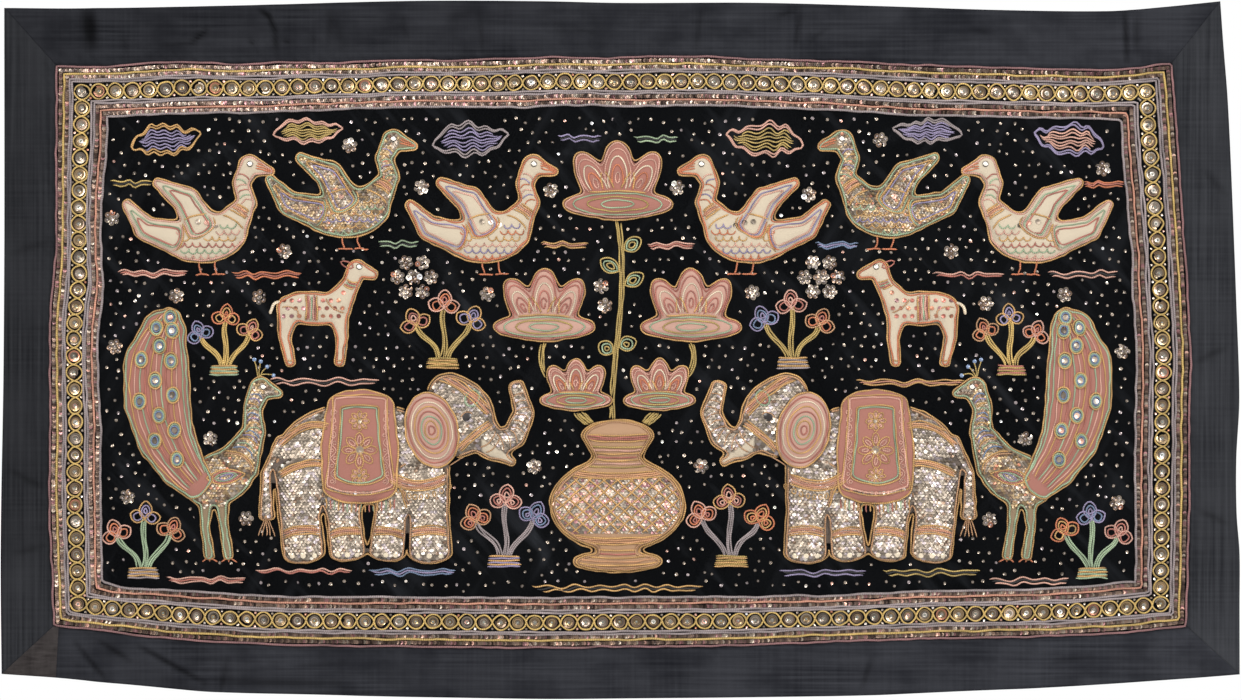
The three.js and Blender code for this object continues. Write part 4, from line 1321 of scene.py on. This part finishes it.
def dress_vase():
    place = places["vase"]

    def belly(u, v):
        return (np.hypot(u / 76, (v - 78) / 51) < 1) & (np.abs(v - 78) < 34)

    scales(place, fine_bag, 2.5, (4.0, 3.1), ROSY, lambda x, z: belly(*place.own(x, z)), wave=0.5)
    spacing = 15
    for lean in (1, -1):
        for k in range(-12, 13):
            u = np.linspace(-120, 120, 160)
            v = 78 + lean * u * 0.9 + k * spacing
            for run in runs(np.column_stack([u, v]), belly(u, v)):
                stitch(place, run, "gold", 1.15, high=0.5)
    x = np.linspace(-80, 80, 81)
    for first, apart, colours in (
        (6, 4.4, ("apricot", "gold", "apricot", "gold", "rose", "gold")),
        (35.8, 2.4, NARROW_TRIM),
        (113.8, 2.4, NARROW_TRIM),
        (128, 4.0, ("leaf", "pink", "gold", "rose", "gold", "pink", "leaf")),
        (158.8, 2.4, ("gold", "rose", "rose", "gold")),
    ):
        for n, colour in enumerate(colours):
            path = np.column_stack([x, first + apart * n - 5 * (1 - (x / 60) ** 2)])
            wide = place.shape(*place.out(path).T)[0] < -2.4
            for run in runs(path, wide):
                stitch(place, run, colour, 1.15, high=0.2)
    outline_motif(place, ("gold", "gold", "tan"), (1.2, -1.4, -4.0), 1.35)


# The shrubs, clouds and ripples, couched flat on the velvet

def flat_cord(path, colour, radius=1.15, closed=False, mark=4.5):
    """A cord on the velvet, left off where it would cross a padded piece."""
    path = resampled(path, 2.0, closed)
    clear = raster.look(raster.far, *path.T) > 2.6
    if clear.all():
        add_cord(bag_of(colour), path, radius, colour, closed)
    else:
        for run in runs(path, clear, closed=closed):
            add_cord(bag_of(colour), run, radius, colour)
    raster.mark(path, mark)


def petal(x, z, length, width, angle, colours):
    """A leaf or petal of loops one inside the other, growing out of (x, z)."""
    c, s = math.cos(math.radians(angle)), math.sin(math.radians(angle))
    for n, colour in enumerate(colours):
        inset = 2.6 * n
        start, reach, half = inset * 1.3, length - inset * 1.7, width - inset
        if half < 1 or reach - start < 4:
            break
        body = np.concatenate([
            bezier((start, 0), (length * 0.3, side * 1.5), (reach * 0.8, side * 1.3), (reach, 0), count=12)
            for side in (half, -half)
        ])
        body[12:] = body[:11:-1]
        body = np.delete(body, (12, 23), axis=0)
        path = np.column_stack([x + body[:, 0] * c - body[:, 1] * s, z + body[:, 0] * s + body[:, 1] * c])
        flat_cord(path, colour, 1.05, closed=True)


def trefoil(x, z, size, angle, colours):
    for turn, half in ((-76, 0.86), (0, 1), (76, 0.86)):
        petal(x, z, 27 * size * half, 9.4 * size, angle + turn, colours)


def shrub(x, z, size, facing, stem, flowers, pot):
    """A potted plant: a pot of laid cords, bent stems and a trefoil flower on each."""
    def at(u, v):
        return x + facing * size * u, z + size * v

    for n, v in enumerate((0, 2.8, 5.6, 8.4, 11.2, 14)):
        w = 24 - 0.2 * v
        flat_cord(bezier(at(-w, v), at(0, v + 0.6), at(w, v), count=8), pot[n % len(pot)], 1.25)
    ends = [((-6, 14), (-8, 44), (-34, 40), (-38, 62), 112), ((0, 14), (10, 46), (-6, 62), (2, 88), 84),
            ((7, 14), (12, 38), (36, 42), (40, 66), 66)]
    for (a, b, c, d, turn), colours in zip(ends, flowers):
        line = bezier(at(*a), at(*b), at(*c), at(*d))
        for path in strands(line, 3, 2.2):
            flat_cord(path, stem, 1.1)
        trefoil(*at(*d), size, turn if facing > 0 else 180 - turn, colours)


def cloud(x, z, long, deep, slope, colours, facing=1):
    """A long cloud with rippled edges and wavy lines along it."""
    t = np.linspace(0, 1, 60)
    a, b = rng.uniform(0, 2 * math.pi, 2)

    def line(share, low=0.0, high=1.0):
        run = low + (high - low) * t
        half = deep * np.sin(math.pi * run) ** 0.62 * (1 - 0.3 * run) * share
        uneven = 1 + 0.4 * np.sin(2 * math.pi * 1.6 * run + a)
        phase = 4.6 * run + 0.16 * np.sin(2 * math.pi * run + b)
        bumps = 0.16 * deep * np.sin(2 * math.pi * phase + 0.8 * share) * uneven * min(1, 0.4 + abs(share))
        swept = slope * (run - 0.5) + 0.22 * deep * np.sin(2 * math.pi * run)
        bumps = bumps * np.sin(math.pi * run) ** 0.3
        return np.column_stack([x + facing * long * (run - 0.5), z + swept + half + bumps])

    for share in (1.0, 1.22):
        flat_cord(np.concatenate([line(share), line(-share)[::-1][1:-1]]), colours[0], 1.1, closed=True)
    for share in (-0.72, -0.44, -0.16, 0.12, 0.4, 0.68):
        flat_cord(line(share, 0.1 + 0.12 * abs(share), 0.93 - 0.2 * abs(share)), colours[1], 1.05)


def ripple(x, z, length, colours, depth=2.6):
    """Parallel wavy lines of cord."""
    t = np.linspace(0, 1, 60)
    waves = max(2, round(length / 30))
    a, b, c = rng.uniform(0, 2 * math.pi, 3)
    bend = np.sin(2 * math.pi * waves * t + a + 0.9 * np.sin(2 * math.pi * t + b))
    bend = bend * (0.75 + 0.4 * np.sin(2 * math.pi * 1.7 * t + c))
    for n, colour in enumerate(colours):
        lift = depth * bend * np.sin(math.pi * np.clip(t * 1.1, 0, 1)) ** 0.3
        path = np.column_stack([x + length * (t * (1 - 0.05 * n) + 0.03 * n), z - 2.5 * n + lift])
        flat_cord(path, colour, 1.1, mark=3.5)


def nearest_free(x, z, room):
    """The free place nearest to (x, z) with room round it, or None."""
    turn = np.arange(16) * math.pi / 8
    for away in range(0, 61, 4):
        px, pz = x + away * np.cos(turn), z + away * np.sin(turn)
        for ax, az in zip(px, pz):
            here = np.array([(ax, az)])
            ring = here + room * 0.8 * np.column_stack([np.cos(turn), np.sin(turn)])
            if raster.free(*ring.T, 3).all() and in_field(ring, 3).all() and raster.free(*here.T, room).all():
                return ax, az
    return None


def rosette(x, z, size=1.0, move=True):
    """A flower of sequins: six round one."""
    if move:
        found = nearest_free(x, z, 12 * size)
        if found is None:
            return
        x, z = found
    turn = np.arange(6) * math.pi / 3 + rng.random()
    px = np.concatenate([x + 6.4 * size * np.cos(turn), [x]])
    pz = np.concatenate([z + 6.4 * size * np.sin(turn), [z]])
    tints = sequin_tints(7, [("pewter", 4), ("umber", 3), ("copper", 0.3), ("silver", 2), ("white", 0.4)])
    sequins(loose_bag, px, pz, 3.6 * size, tints, 0.16, high=0.9, sides=10, cup=0.25)
    sequins(bead_bag, px, pz, 1.1, linear("grey"), 0.0, high=1.3, sides=6, cup=-0.6)
    raster.mark(np.array([(x, z)]), 12 * size)


# What is sewn on the ground at equal distances to both sides of the middle, each as (distance, z, ...)
FLOWERS = [("gold", "rose", "pink"), ("pink", "orange", "rose"), ("gold", "lilac", "lilac"),
           ("tan", "orange", "rose"), ("pink", "rose", "pink"), ("lilac", "blue", "lilac"),
           ("orange", "gold", "orange")]
POTS = [("gold", "olive"), ("grey", "gold"), ("mint", "gold"), ("leaf", "rose"), ("lilac", "gold")]
SHRUBS = [(210, -438, 0.82, "leaf"), (472, -446, 0.74, "yellow"), (136, -676, 0.86, "grey"),
          (570, -690, 0.8, "mint")]
CLOUDS = [  # length, half depth, slope, then its colours on the left and on the right
    (541, -164, 84, 17, 16, ("gold", "lilac"), ("lilac", "pink")),
    (371, -154, 84, 13, 8, ("pink", "leaf"), ("grey", "lilac")),
    (176, -164, 92, 18, 14, ("grey", "lilac"), ("pink", "leaf")),
]
STRANDS = [("pink", "rose", "pink"), ("lilac", "black", "lilac"), ("orange", "rose", "orange"),
           ("pink", "black", "pink"), ("mint", "black", "mint"), ("pink", "rose"), ("gold", "salmon", "gold"),
           ("blue", "lilac", "blue"), ("leaf", "black", "leaf")]
RIPPLES = [  # length
    (600, -322, 84), (463, -324, 84), (288, -287, 50), (92, -288, 56), (608, -214, 50), (72, -160, 52),
    (420, -452, 134), (434, -680, 116), (298, -680, 104), (542, -690, 96),
]
ROSETTES = [
    (596, -232), (400, -298), (246, -247), (80, -213), (536, -366), (416, -386), (160, -351), (598, -418),
    (452, -560), (442, -620), (100, -556), (326, -636), (592, -600), (266, -640), (326, -160), (0, -320),
    (0, -400),
]
CLUSTERS = [(244, -329)]


def sewn_ground():
    """The shrubs, clouds, ripples and rosettes."""
    for n, (away, z, size, stem) in enumerate(SHRUBS):
        for k, facing in enumerate((1, -1)):
            first = 5 * n + 3 * k
            flowers = [FLOWERS[(first + m) % len(FLOWERS)] for m in range(3)]
            shrub(MIDDLE - facing * away, z, size, facing, stem, flowers, POTS[(2 * n + k) % len(POTS)])
    for away, z, *shape, left, right in CLOUDS:
        cloud(MIDDLE - away, z, *shape, left, 1)
        cloud(MIDDLE + away, z, *shape, right, -1)
    for n, (away, z, length) in enumerate(RIPPLES):
        for k, x in enumerate((MIDDLE - away, MIDDLE + away - length)):
            ripple(x, z - k, length, STRANDS[(2 * n + 3 * k) % len(STRANDS)])
    ripple(MIDDLE - 102, -700, 204, ("gold", "black", "gold"))
    for away, z in CLUSTERS:
        for x in (MIDDLE - away, MIDDLE + away):
            for turn in np.arange(6) * math.pi / 3:
                rosette(x + 20 * math.cos(turn), z + 20 * math.sin(turn), 0.92, move=False)
            rosette(x, z, move=False)
    for away, z in ROSETTES:
        for x in sorted({MIDDLE - away, MIDDLE + away}):
            rosette(x, z, 0.95)


def leafy_stems():
    """Stems from the vase to each lotus, with leaves along them."""
    mouth = -520
    high = ((18, mouth), (56, -470), (106, -450), (88, -408))
    low = ((24, mouth), (30, -505), (48, -500), (50, -490))
    stems = [((-8, mouth), (-20, -440), (14, -360), (-4, -262))]
    stems += [[(MIDDLE + side * away, z) for away, z in stem] for side in (-1, 1) for stem in (high, low)]
    for points in stems:
        for path in strands(bezier(*points, count=40), 3, 2.3):
            flat_cord(path, "leaf", 1.15)
    stem = bezier(*stems[0], count=101)
    for at, turn, length in ((40, 1, 21), (43, -1, 22), (72, -1, 26), (78, 1, 27), (87, -1, 25)):
        way = stem[at + 1] - stem[at]
        angle = math.degrees(math.atan2(way[1], way[0])) + 58 * turn
        start = stem[at] + 4 * np.array([math.cos(math.radians(angle)), math.sin(math.radians(angle))])
        petal(*start, length, 8.2, angle, ("leaf", "mint", "leaf"))


def loose_dots():
    """Single sequins over all the free velvet, on an uneven net."""
    pitch = 15.0
    x, z = np.meshgrid(np.arange(-630, 640, pitch), np.arange(-722, -130, pitch * 0.86))
    x = x + (np.arange(x.shape[0]) % 2)[:, None] * pitch / 2
    x, z = (v.ravel() + rng.uniform(-3.4, 3.4, v.size) for v in (x, z))
    keep = raster.free(x, z, 4.4) & in_field(np.column_stack([x, z]), 6)
    x, z = x[keep], z[keep]
    normal = tilted(facing_out(x, z), 0.2)
    centre = np.column_stack([x, top(x, z) - 0.8, z])
    choices = [("pewter", 5), ("silver", 3), ("grey", 2), ("pink", 0.3), ("white", 0.5)]
    radius = rng.uniform(1.6, 2.1, len(x))
    add_discs(loose_bag, centre, normal, radius, sequin_tints(len(x), choices, 0.3), 9, 0.22)
    sequins(bead_bag, x, z, 0.6, linear("grey"), 0.0, high=1.1, sides=5, cup=-0.6)


def in_field(points, margin):
    """Whether points lie inside the band's inner edge by a margin."""
    x, z = points.T
    s = np.clip((x - FIELD["tl"][0]) / (FIELD["tr"][0] - FIELD["tl"][0]), 0, 1)
    t = np.clip((z - FIELD["tl"][1]) / (FIELD["bl"][1] - FIELD["tl"][1]), 0, 1)
    return ((z < band_inside["top"](s)[:, 1] - margin) & (z > band_inside["bottom"](s)[:, 1] + margin)
            & (x > band_inside["left"](t)[:, 0] + margin) & (x < band_inside["right"](t)[:, 0] - margin))


# The sequinned band

SIDES = ("top", "right", "bottom", "left")
BAND_CORDS = [
    # millimetres in from the band's outer edge, radius, colour
    (0.6, 1.4, "mauve"), (9.2, 1.5, "yellow"), (16.2, 1.4, "grey"), (19.0, 1.4, "grey"), (42.2, 1.4, "grey"),
    (45.0, 1.4, "grey"), (53.0, 1.35, "salmon"), (60.3, 1.5, "grey"),
]
BAND_ROWS = [5.2, 13.0, 48.8, 57.0]
ROW_WIDTH = 2.3
ROW_COLOURS = [("band", 6), ("dusk", 4), ("mauve", 1.4), ("pink", 0.4), ("silver", 1.6)]
CHANNEL = 30.6
ROUNDELS = {"top": 64, "right": 31, "bottom": 64, "left": 31}
LOOP_REACH = 9.0


def band_line(side, inward, count=400):
    """A line along one side of the band, at a distance in from its outer edge."""
    t = np.linspace(0, 1, count)
    share = inward / BAND_WIDTH
    line = band_outside[side](t) * (1 - share) + band_inside[side](t) * share
    return line if side in ("top", "right") else line[::-1]


def band_loop(inward):
    """The same all the way round."""
    return np.concatenate([band_line(side, inward)[:-1] for side in SIDES])


def channel_points(side, turns, swing):
    """Points of a side's channel: turns counts its roundels from the first corner, swing goes inwards."""
    line = resampled(band_line(side, CHANNEL), 1.0)
    run = np.linspace(0, ROUNDELS[side], len(line))
    padded = np.pad(line, ((12, 12), (0, 0)), "reflect", reflect_type="odd")
    smooth = np.column_stack([np.convolve(column, np.ones(25) / 25, "valid") for column in padded.T])
    way = unit(np.gradient(smooth, axis=0))
    turns = np.asarray(turns, float)
    held = np.clip(turns, 0, ROUNDELS[side])
    pitch = np.linalg.norm(np.diff(line, axis=0), axis=1).sum() / ROUNDELS[side]
    x, z, wx, wz = (np.interp(held, run, v) for v in (line[:, 0], line[:, 1], way[:, 0], way[:, 1]))
    past = (turns - held) * pitch
    return np.column_stack([x + wx * past + wz * swing, z + wz * past - wx * swing])


def band_cords():
    cords, gold = Bag(), Bag()
    for inward, radius, colour in BAND_CORDS:
        bag = gold if colour == "yellow" else cords
        path = band_loop(inward)
        run = 2 * math.pi * np.linspace(0, 1, len(path))
        wander = 0.25 * np.sin(61 * run + inward) + 0.18 * np.sin(143 * run + 2 * inward)
        add_cord(bag, path + wander[:, None], radius, colour, closed=True, step=5.0, high=1.2, lift=0.5)
    for sign in (1, -1):
        for side in SIDES:
            first = -0.5 if side in ("top", "bottom") else 0.5
            turns = np.linspace(first, ROUNDELS[side] - first, int((ROUNDELS[side] - 2 * first) * 16) + 1)
            turn = np.cos(math.pi * turns)
            reach = LOOP_REACH * np.interp(turns, np.arange(-1, 70), rng.uniform(0.9, 1.07, 71))
            swing = reach * sign * np.sign(turn) * np.abs(turn) ** 0.58
            path = channel_points(side, turns, swing)
            add_cord(gold, path, 1.15, "yellow", step=2.3, high=0.7 + 0.5 * (sign > 0))
    return cords, gold


def band_sequins():
    """The four rows of sequins, each overlapping the next."""
    bag = Bag()
    for inward in BAND_ROWS:
        for side in SIDES:
            line = resampled(band_line(side, inward), 2.35)
            way = unit(np.gradient(line, axis=0))
            x, z = (line + rng.normal(0, 0.16, line.shape)).T
            lean = np.column_stack([way[:, 0], np.zeros(len(way)), way[:, 1]]) * 0.42
            normal = tilted(facing_out(x, z), 0.12, lean)
            centre = np.column_stack([x, top(x, z) - 1.5, z])
            add_discs(bag, centre, normal, ROW_WIDTH, sequin_tints(len(x), ROW_COLOURS, 0.3), 8, 0.1)
    return bag


def band_roundels():
    """Stacked sequins with a bead, one in each loop of the gold cord, and small ones between the loops."""
    big, beads = Bag(), Bag()
    for side in SIDES:
        ends = (0, 1) if side in ("top", "bottom") else (1, 0)
        x, z = channel_points(side, np.arange(ends[0], ROUNDELS[side] + ends[1]), 0).T
        for radius, high, colours, cup in (
            (6.9, 0.9, [("umber", 4), ("bronze", 3), ("pewter", 2), ("copper", 0.4)], 0.14),
            (4.7, 1.6, [("silver", 2), ("bronze", 4), ("pewter", 2)], 0.26),
            (2.8, 2.2, [("white", 0.8), ("silver", 5), ("bronze", 1.5), ("pink", 0.5)], 0.22),
        ):
            sequins(big, x, z, radius, sequin_tints(len(x), colours), 0.07, high=high, sides=14, cup=cup)
        sequins(beads, x, z, 1.3, linear((120, 126, 116)), 0.0, high=2.6, sides=8, cup=-0.8)
        between = np.arange(ROUNDELS[side]) + 0.5
        for swing in (-7.9, 7.9):
            x, z = channel_points(side, between, swing).T
            sequins(big, x, z, 1.5, sequin_tints(len(x), PALE), 0.15, high=1.0, sides=8)
    return big, beads


# The cloths

def velvet_piece(material):
    piece = sheet_piece(
        "velvet", lambda s, t: inside(band_outside, s, t), lambda x, z, t: velvet_front(x, z),
        lambda x, z, t: velvet_front(x, z) + VELVET_THICK, (176, 92), material, "velvet", "velvet_ground",
        # painted sheen: the velvet's tint is lighter along its creases
        lambda x, z: 1 + 2.4 * np.abs(ridges(VELVET_CREASES, x, z)), VELVET_BACK)


def cotton_front(x, z, t):
    """The cotton's front: its folds, its creases and the small gathers along its seam, where t is 1."""
    gather = PUCKER["rise"] * np.exp(-(1 - t) * STRIP_WIDTH / PUCKER["reach"])
    run = 2 * math.pi * (x + z) / PUCKER["pitch"]
    gathers = gather * (np.sin(run) + 0.6 * np.sin(1.83 * run + 1.1))
    return hang(x, z) - ridges(FOLDS, x, z) - ridges(COTTON_CREASES, x, z) - gathers - COTTON_THICK / 2


def cotton_shade(x, z):
    """Painted shade in the creases, a painted highlight along the tops of the folds, and painted light that
    makes the right side and the bottom lighter.
    """
    # painted light: lighter towards the right and the bottom, as if lit more strongly there
    painted_light = 1.03 + 0.18 * x / HALF_WIDTH + 0.28 * np.clip((-z - 640) / 120, 0, 1)
    # painted shade darkens the creases, and a painted highlight lightens the tops of the folds
    return painted_light * np.clip(1 + 0.34 * ridges(COTTON_CREASES, x, z) + 0.04 * ridges(FOLDS, x, z), 0.22, 1.4)


def cotton_piece(name, side, grid, material, slot, hem_share=(0, 1), seam_share=(0, 1)):
    def place(s, t):
        on_hem = hem[side](hem_share[0] + s * (hem_share[1] - hem_share[0]))
        on_seam = band_outside[side](seam_share[0] + s * (seam_share[1] - seam_share[0]))
        return on_hem * (1 - t[..., None]) + on_seam * t[..., None]

    faces = (cotton_front, lambda x, z, t: cotton_front(x, z, t) + COTTON_THICK)
    piece = sheet_piece(f"{name}_cloth", place, *faces, grid, material, slot, name, cotton_shade)


def cotton_border():
    level = cotton_material("cotton_level", (16, 17, 21), (49, 50, 54), (0.6, 1, 30), 0.5)
    upright = cotton_material("cotton_upright", (18, 19, 22), (52, 53, 56), (30, 1, 0.6), 0.12)
    corner = cotton_material("cotton_corner", (29, 26, 26), (63, 59, 58), (6, 1, 30))
    patch = 0.0437
    cotton_piece("cotton_border_top", "top", (420, 20), level, "border_cotton")
    cotton_piece("cotton_border_bottom", "bottom", (420, 20), level, "border_cotton",
                 (patch, 1), (0.004, 1))
    cotton_piece("cotton_border_left", "left", (240, 20), upright, "border_cotton")
    cotton_piece("cotton_border_right", "right", (240, 20), upright, "border_cotton")
    cotton_piece("cotton_corner_patch", "bottom", (24, 20), corner, "corner_cotton",
                 (0, patch), (0, 0.004))


# Stage

def make_camera():
    data = bpy.data.cameras.new("camera")
    data.lens = LENS
    data.sensor_width = SENSOR
    camera = bpy.data.objects.new("camera", data)
    distance = PHOTO_WIDTH * MM_PER_PIXEL * MM * LENS / SENSOR
    camera.location = (0, -distance, PICTURE_MIDDLE_Z * MM)
    camera.rotation_euler = (math.pi / 2, 0, 0)
    bpy.context.scene.collection.objects.link(camera)
    bpy.context.scene.camera = camera


LIGHTS = [
    # x, y, z, size, watts, warmth
    (-1.9, -2.7, 0.7, 1.2, 50, (1, 0.98, 0.95)),
    (1.7, -2.5, 0.1, 1.0, 46, (0.98, 0.99, 1)),
    (0.1, -2.2, 1.5, 0.8, 18, (1, 1, 1)),
]


def make_lights():
    for n, (x, y, z, size, watts, colour) in enumerate(LIGHTS):
        data = bpy.data.lights.new(f"light_{n}", "AREA")
        data.shape, data.size, data.energy, data.color = "DISK", size, watts, colour
        light = bpy.data.objects.new(f"light_{n}", data)
        light.location = (x, y, z)
        towards = np.array([0, 0, PICTURE_MIDDLE_Z * MM]) - (x, y, z)
        light.rotation_euler = (math.acos(-towards[2] / np.linalg.norm(towards)), 0,
                                math.atan2(towards[1], towards[0]) - math.pi / 2)
        bpy.context.scene.collection.objects.link(light)


def make_world():
    """White behind the object, and a plain room, lighter above than below, for what lights it."""
    world = bpy.data.worlds.new("studio")
    world.use_nodes = True
    tree = world.node_tree
    room = tree.nodes["Background"]
    way = node(tree, "ShaderNodeTexCoord").outputs["Generated"]
    axes = node(tree, "ShaderNodeSeparateXYZ", {"Vector": way})
    shade = blended(tree, ramp(tree, axes.outputs[2], -0.7, 0.9), (0.16, 0.16, 0.17), (0.9, 0.9, 0.92))
    tree.links.new(shade, room.inputs["Color"])
    white = node(tree, "ShaderNodeBackground", {"Color": (1, 1, 1, 1)})
    seen = node(tree, "ShaderNodeLightPath").outputs["Is Camera Ray"]
    mix = node(tree, "ShaderNodeMixShader", {0: seen, 1: room.outputs[0], 2: white.outputs[0]})
    tree.links.new(mix.outputs[0], tree.nodes["World Output"].inputs["Surface"])
    bpy.context.scene.world = world
    bpy.context.scene.view_settings.view_transform = "Standard"


def make_floor():
    cells = 24
    half, front, back = FLOOR
    x, y = np.meshgrid(np.linspace(-half, half, cells + 1), np.linspace(back, front, cells + 1))
    points = np.column_stack([x.ravel(), y.ravel(), np.full(x.size, FLOOR_Z)])
    mesh = bpy.data.meshes.new("floor")
    mesh.from_pydata(points.tolist(), [], grid_faces(cells, cells).tolist())
    mesh.materials.append(floor_material())
    floor = bpy.data.objects.new("floor", mesh)
    bpy.context.scene.collection.objects.link(floor)


make_camera()
make_world()
make_lights()
make_floor()

velvet_piece(velvet_material())
cotton_border()

cloths = {slot: cloth_material(f"cloth_{slot}") for slot in
          ("silver_sequins", "bronze_sequins", "rose_cloth", "pink_cloth", "cream_cloth")}
for place in places.values():
    relief_piece(place, cloths[place.slot])

for side in ("left", "right"):
    dress_elephant(side)
    dress_ear(side)
    dress_saddle(side)
    dress_peacock(side)
    dress_tail(side)
    dress_goose(f"goose_outer_{side}", ("pink", "mint", "rose"))
    dress_goose(f"goose_middle_{side}", ("mint", "gold", "lilac"))
    dress_goose(f"goose_inner_{side}", ("orange", "lilac", "pink"))
    dress_deer(f"deer_{side}")
    dress_lotus(f"lotus_high_{side}", ("rose", "cream", "rose"))
    dress_lotus(f"lotus_low_{side}", ("pink", "cream", "orange"))
dress_lotus("lotus_top", ("pink", "cream", "orange"))
dress_vase()
leafy_stems()
sewn_ground()
loose_dots()

cords, gold_cords = band_cords()
roundels, roundel_beads = band_roundels()
gold = cord_material("gold_cord", 0.45, 0.25)
bright = cord_material("bright_cord", 0.6, 0.0)
fine = sequin_material("fine_sequins", 0.36)
loose = sequin_material("loose_sequins", 0.24)
row = sequin_material("row_sequins", 0.34, 0.75)
bead = sequin_material("beads", 0.25, 0.2)
band_nodes = [f"sequin_band_{side}" for side in SIDES]
band_sequins().piece("band_sequin_rows", row, "band_sequins", smooth=False, replaces=band_nodes)
cords.piece("band_cords", cord_material("band_cord", 0.6, 0.0), "lilac_cord")
gold_cords.piece("band_gold_cords", gold, "gold_cord")
roundels.piece("band_roundels", loose, "band_sequins", smooth=False)
roundel_beads.piece("band_beads", bead, "glass_bead")
gold_bag.piece("gold_couching", gold, "gold_cord")
bright_bag.piece("bright_couching", bright, "bright_cord")
fine_bag.piece("motif_sequins", fine, "silver_sequins", smooth=False)
loose_bag.piece("loose_sequins", loose, "loose_sequins", smooth=False)
bead_bag.piece("beads", bead, "glass_bead")
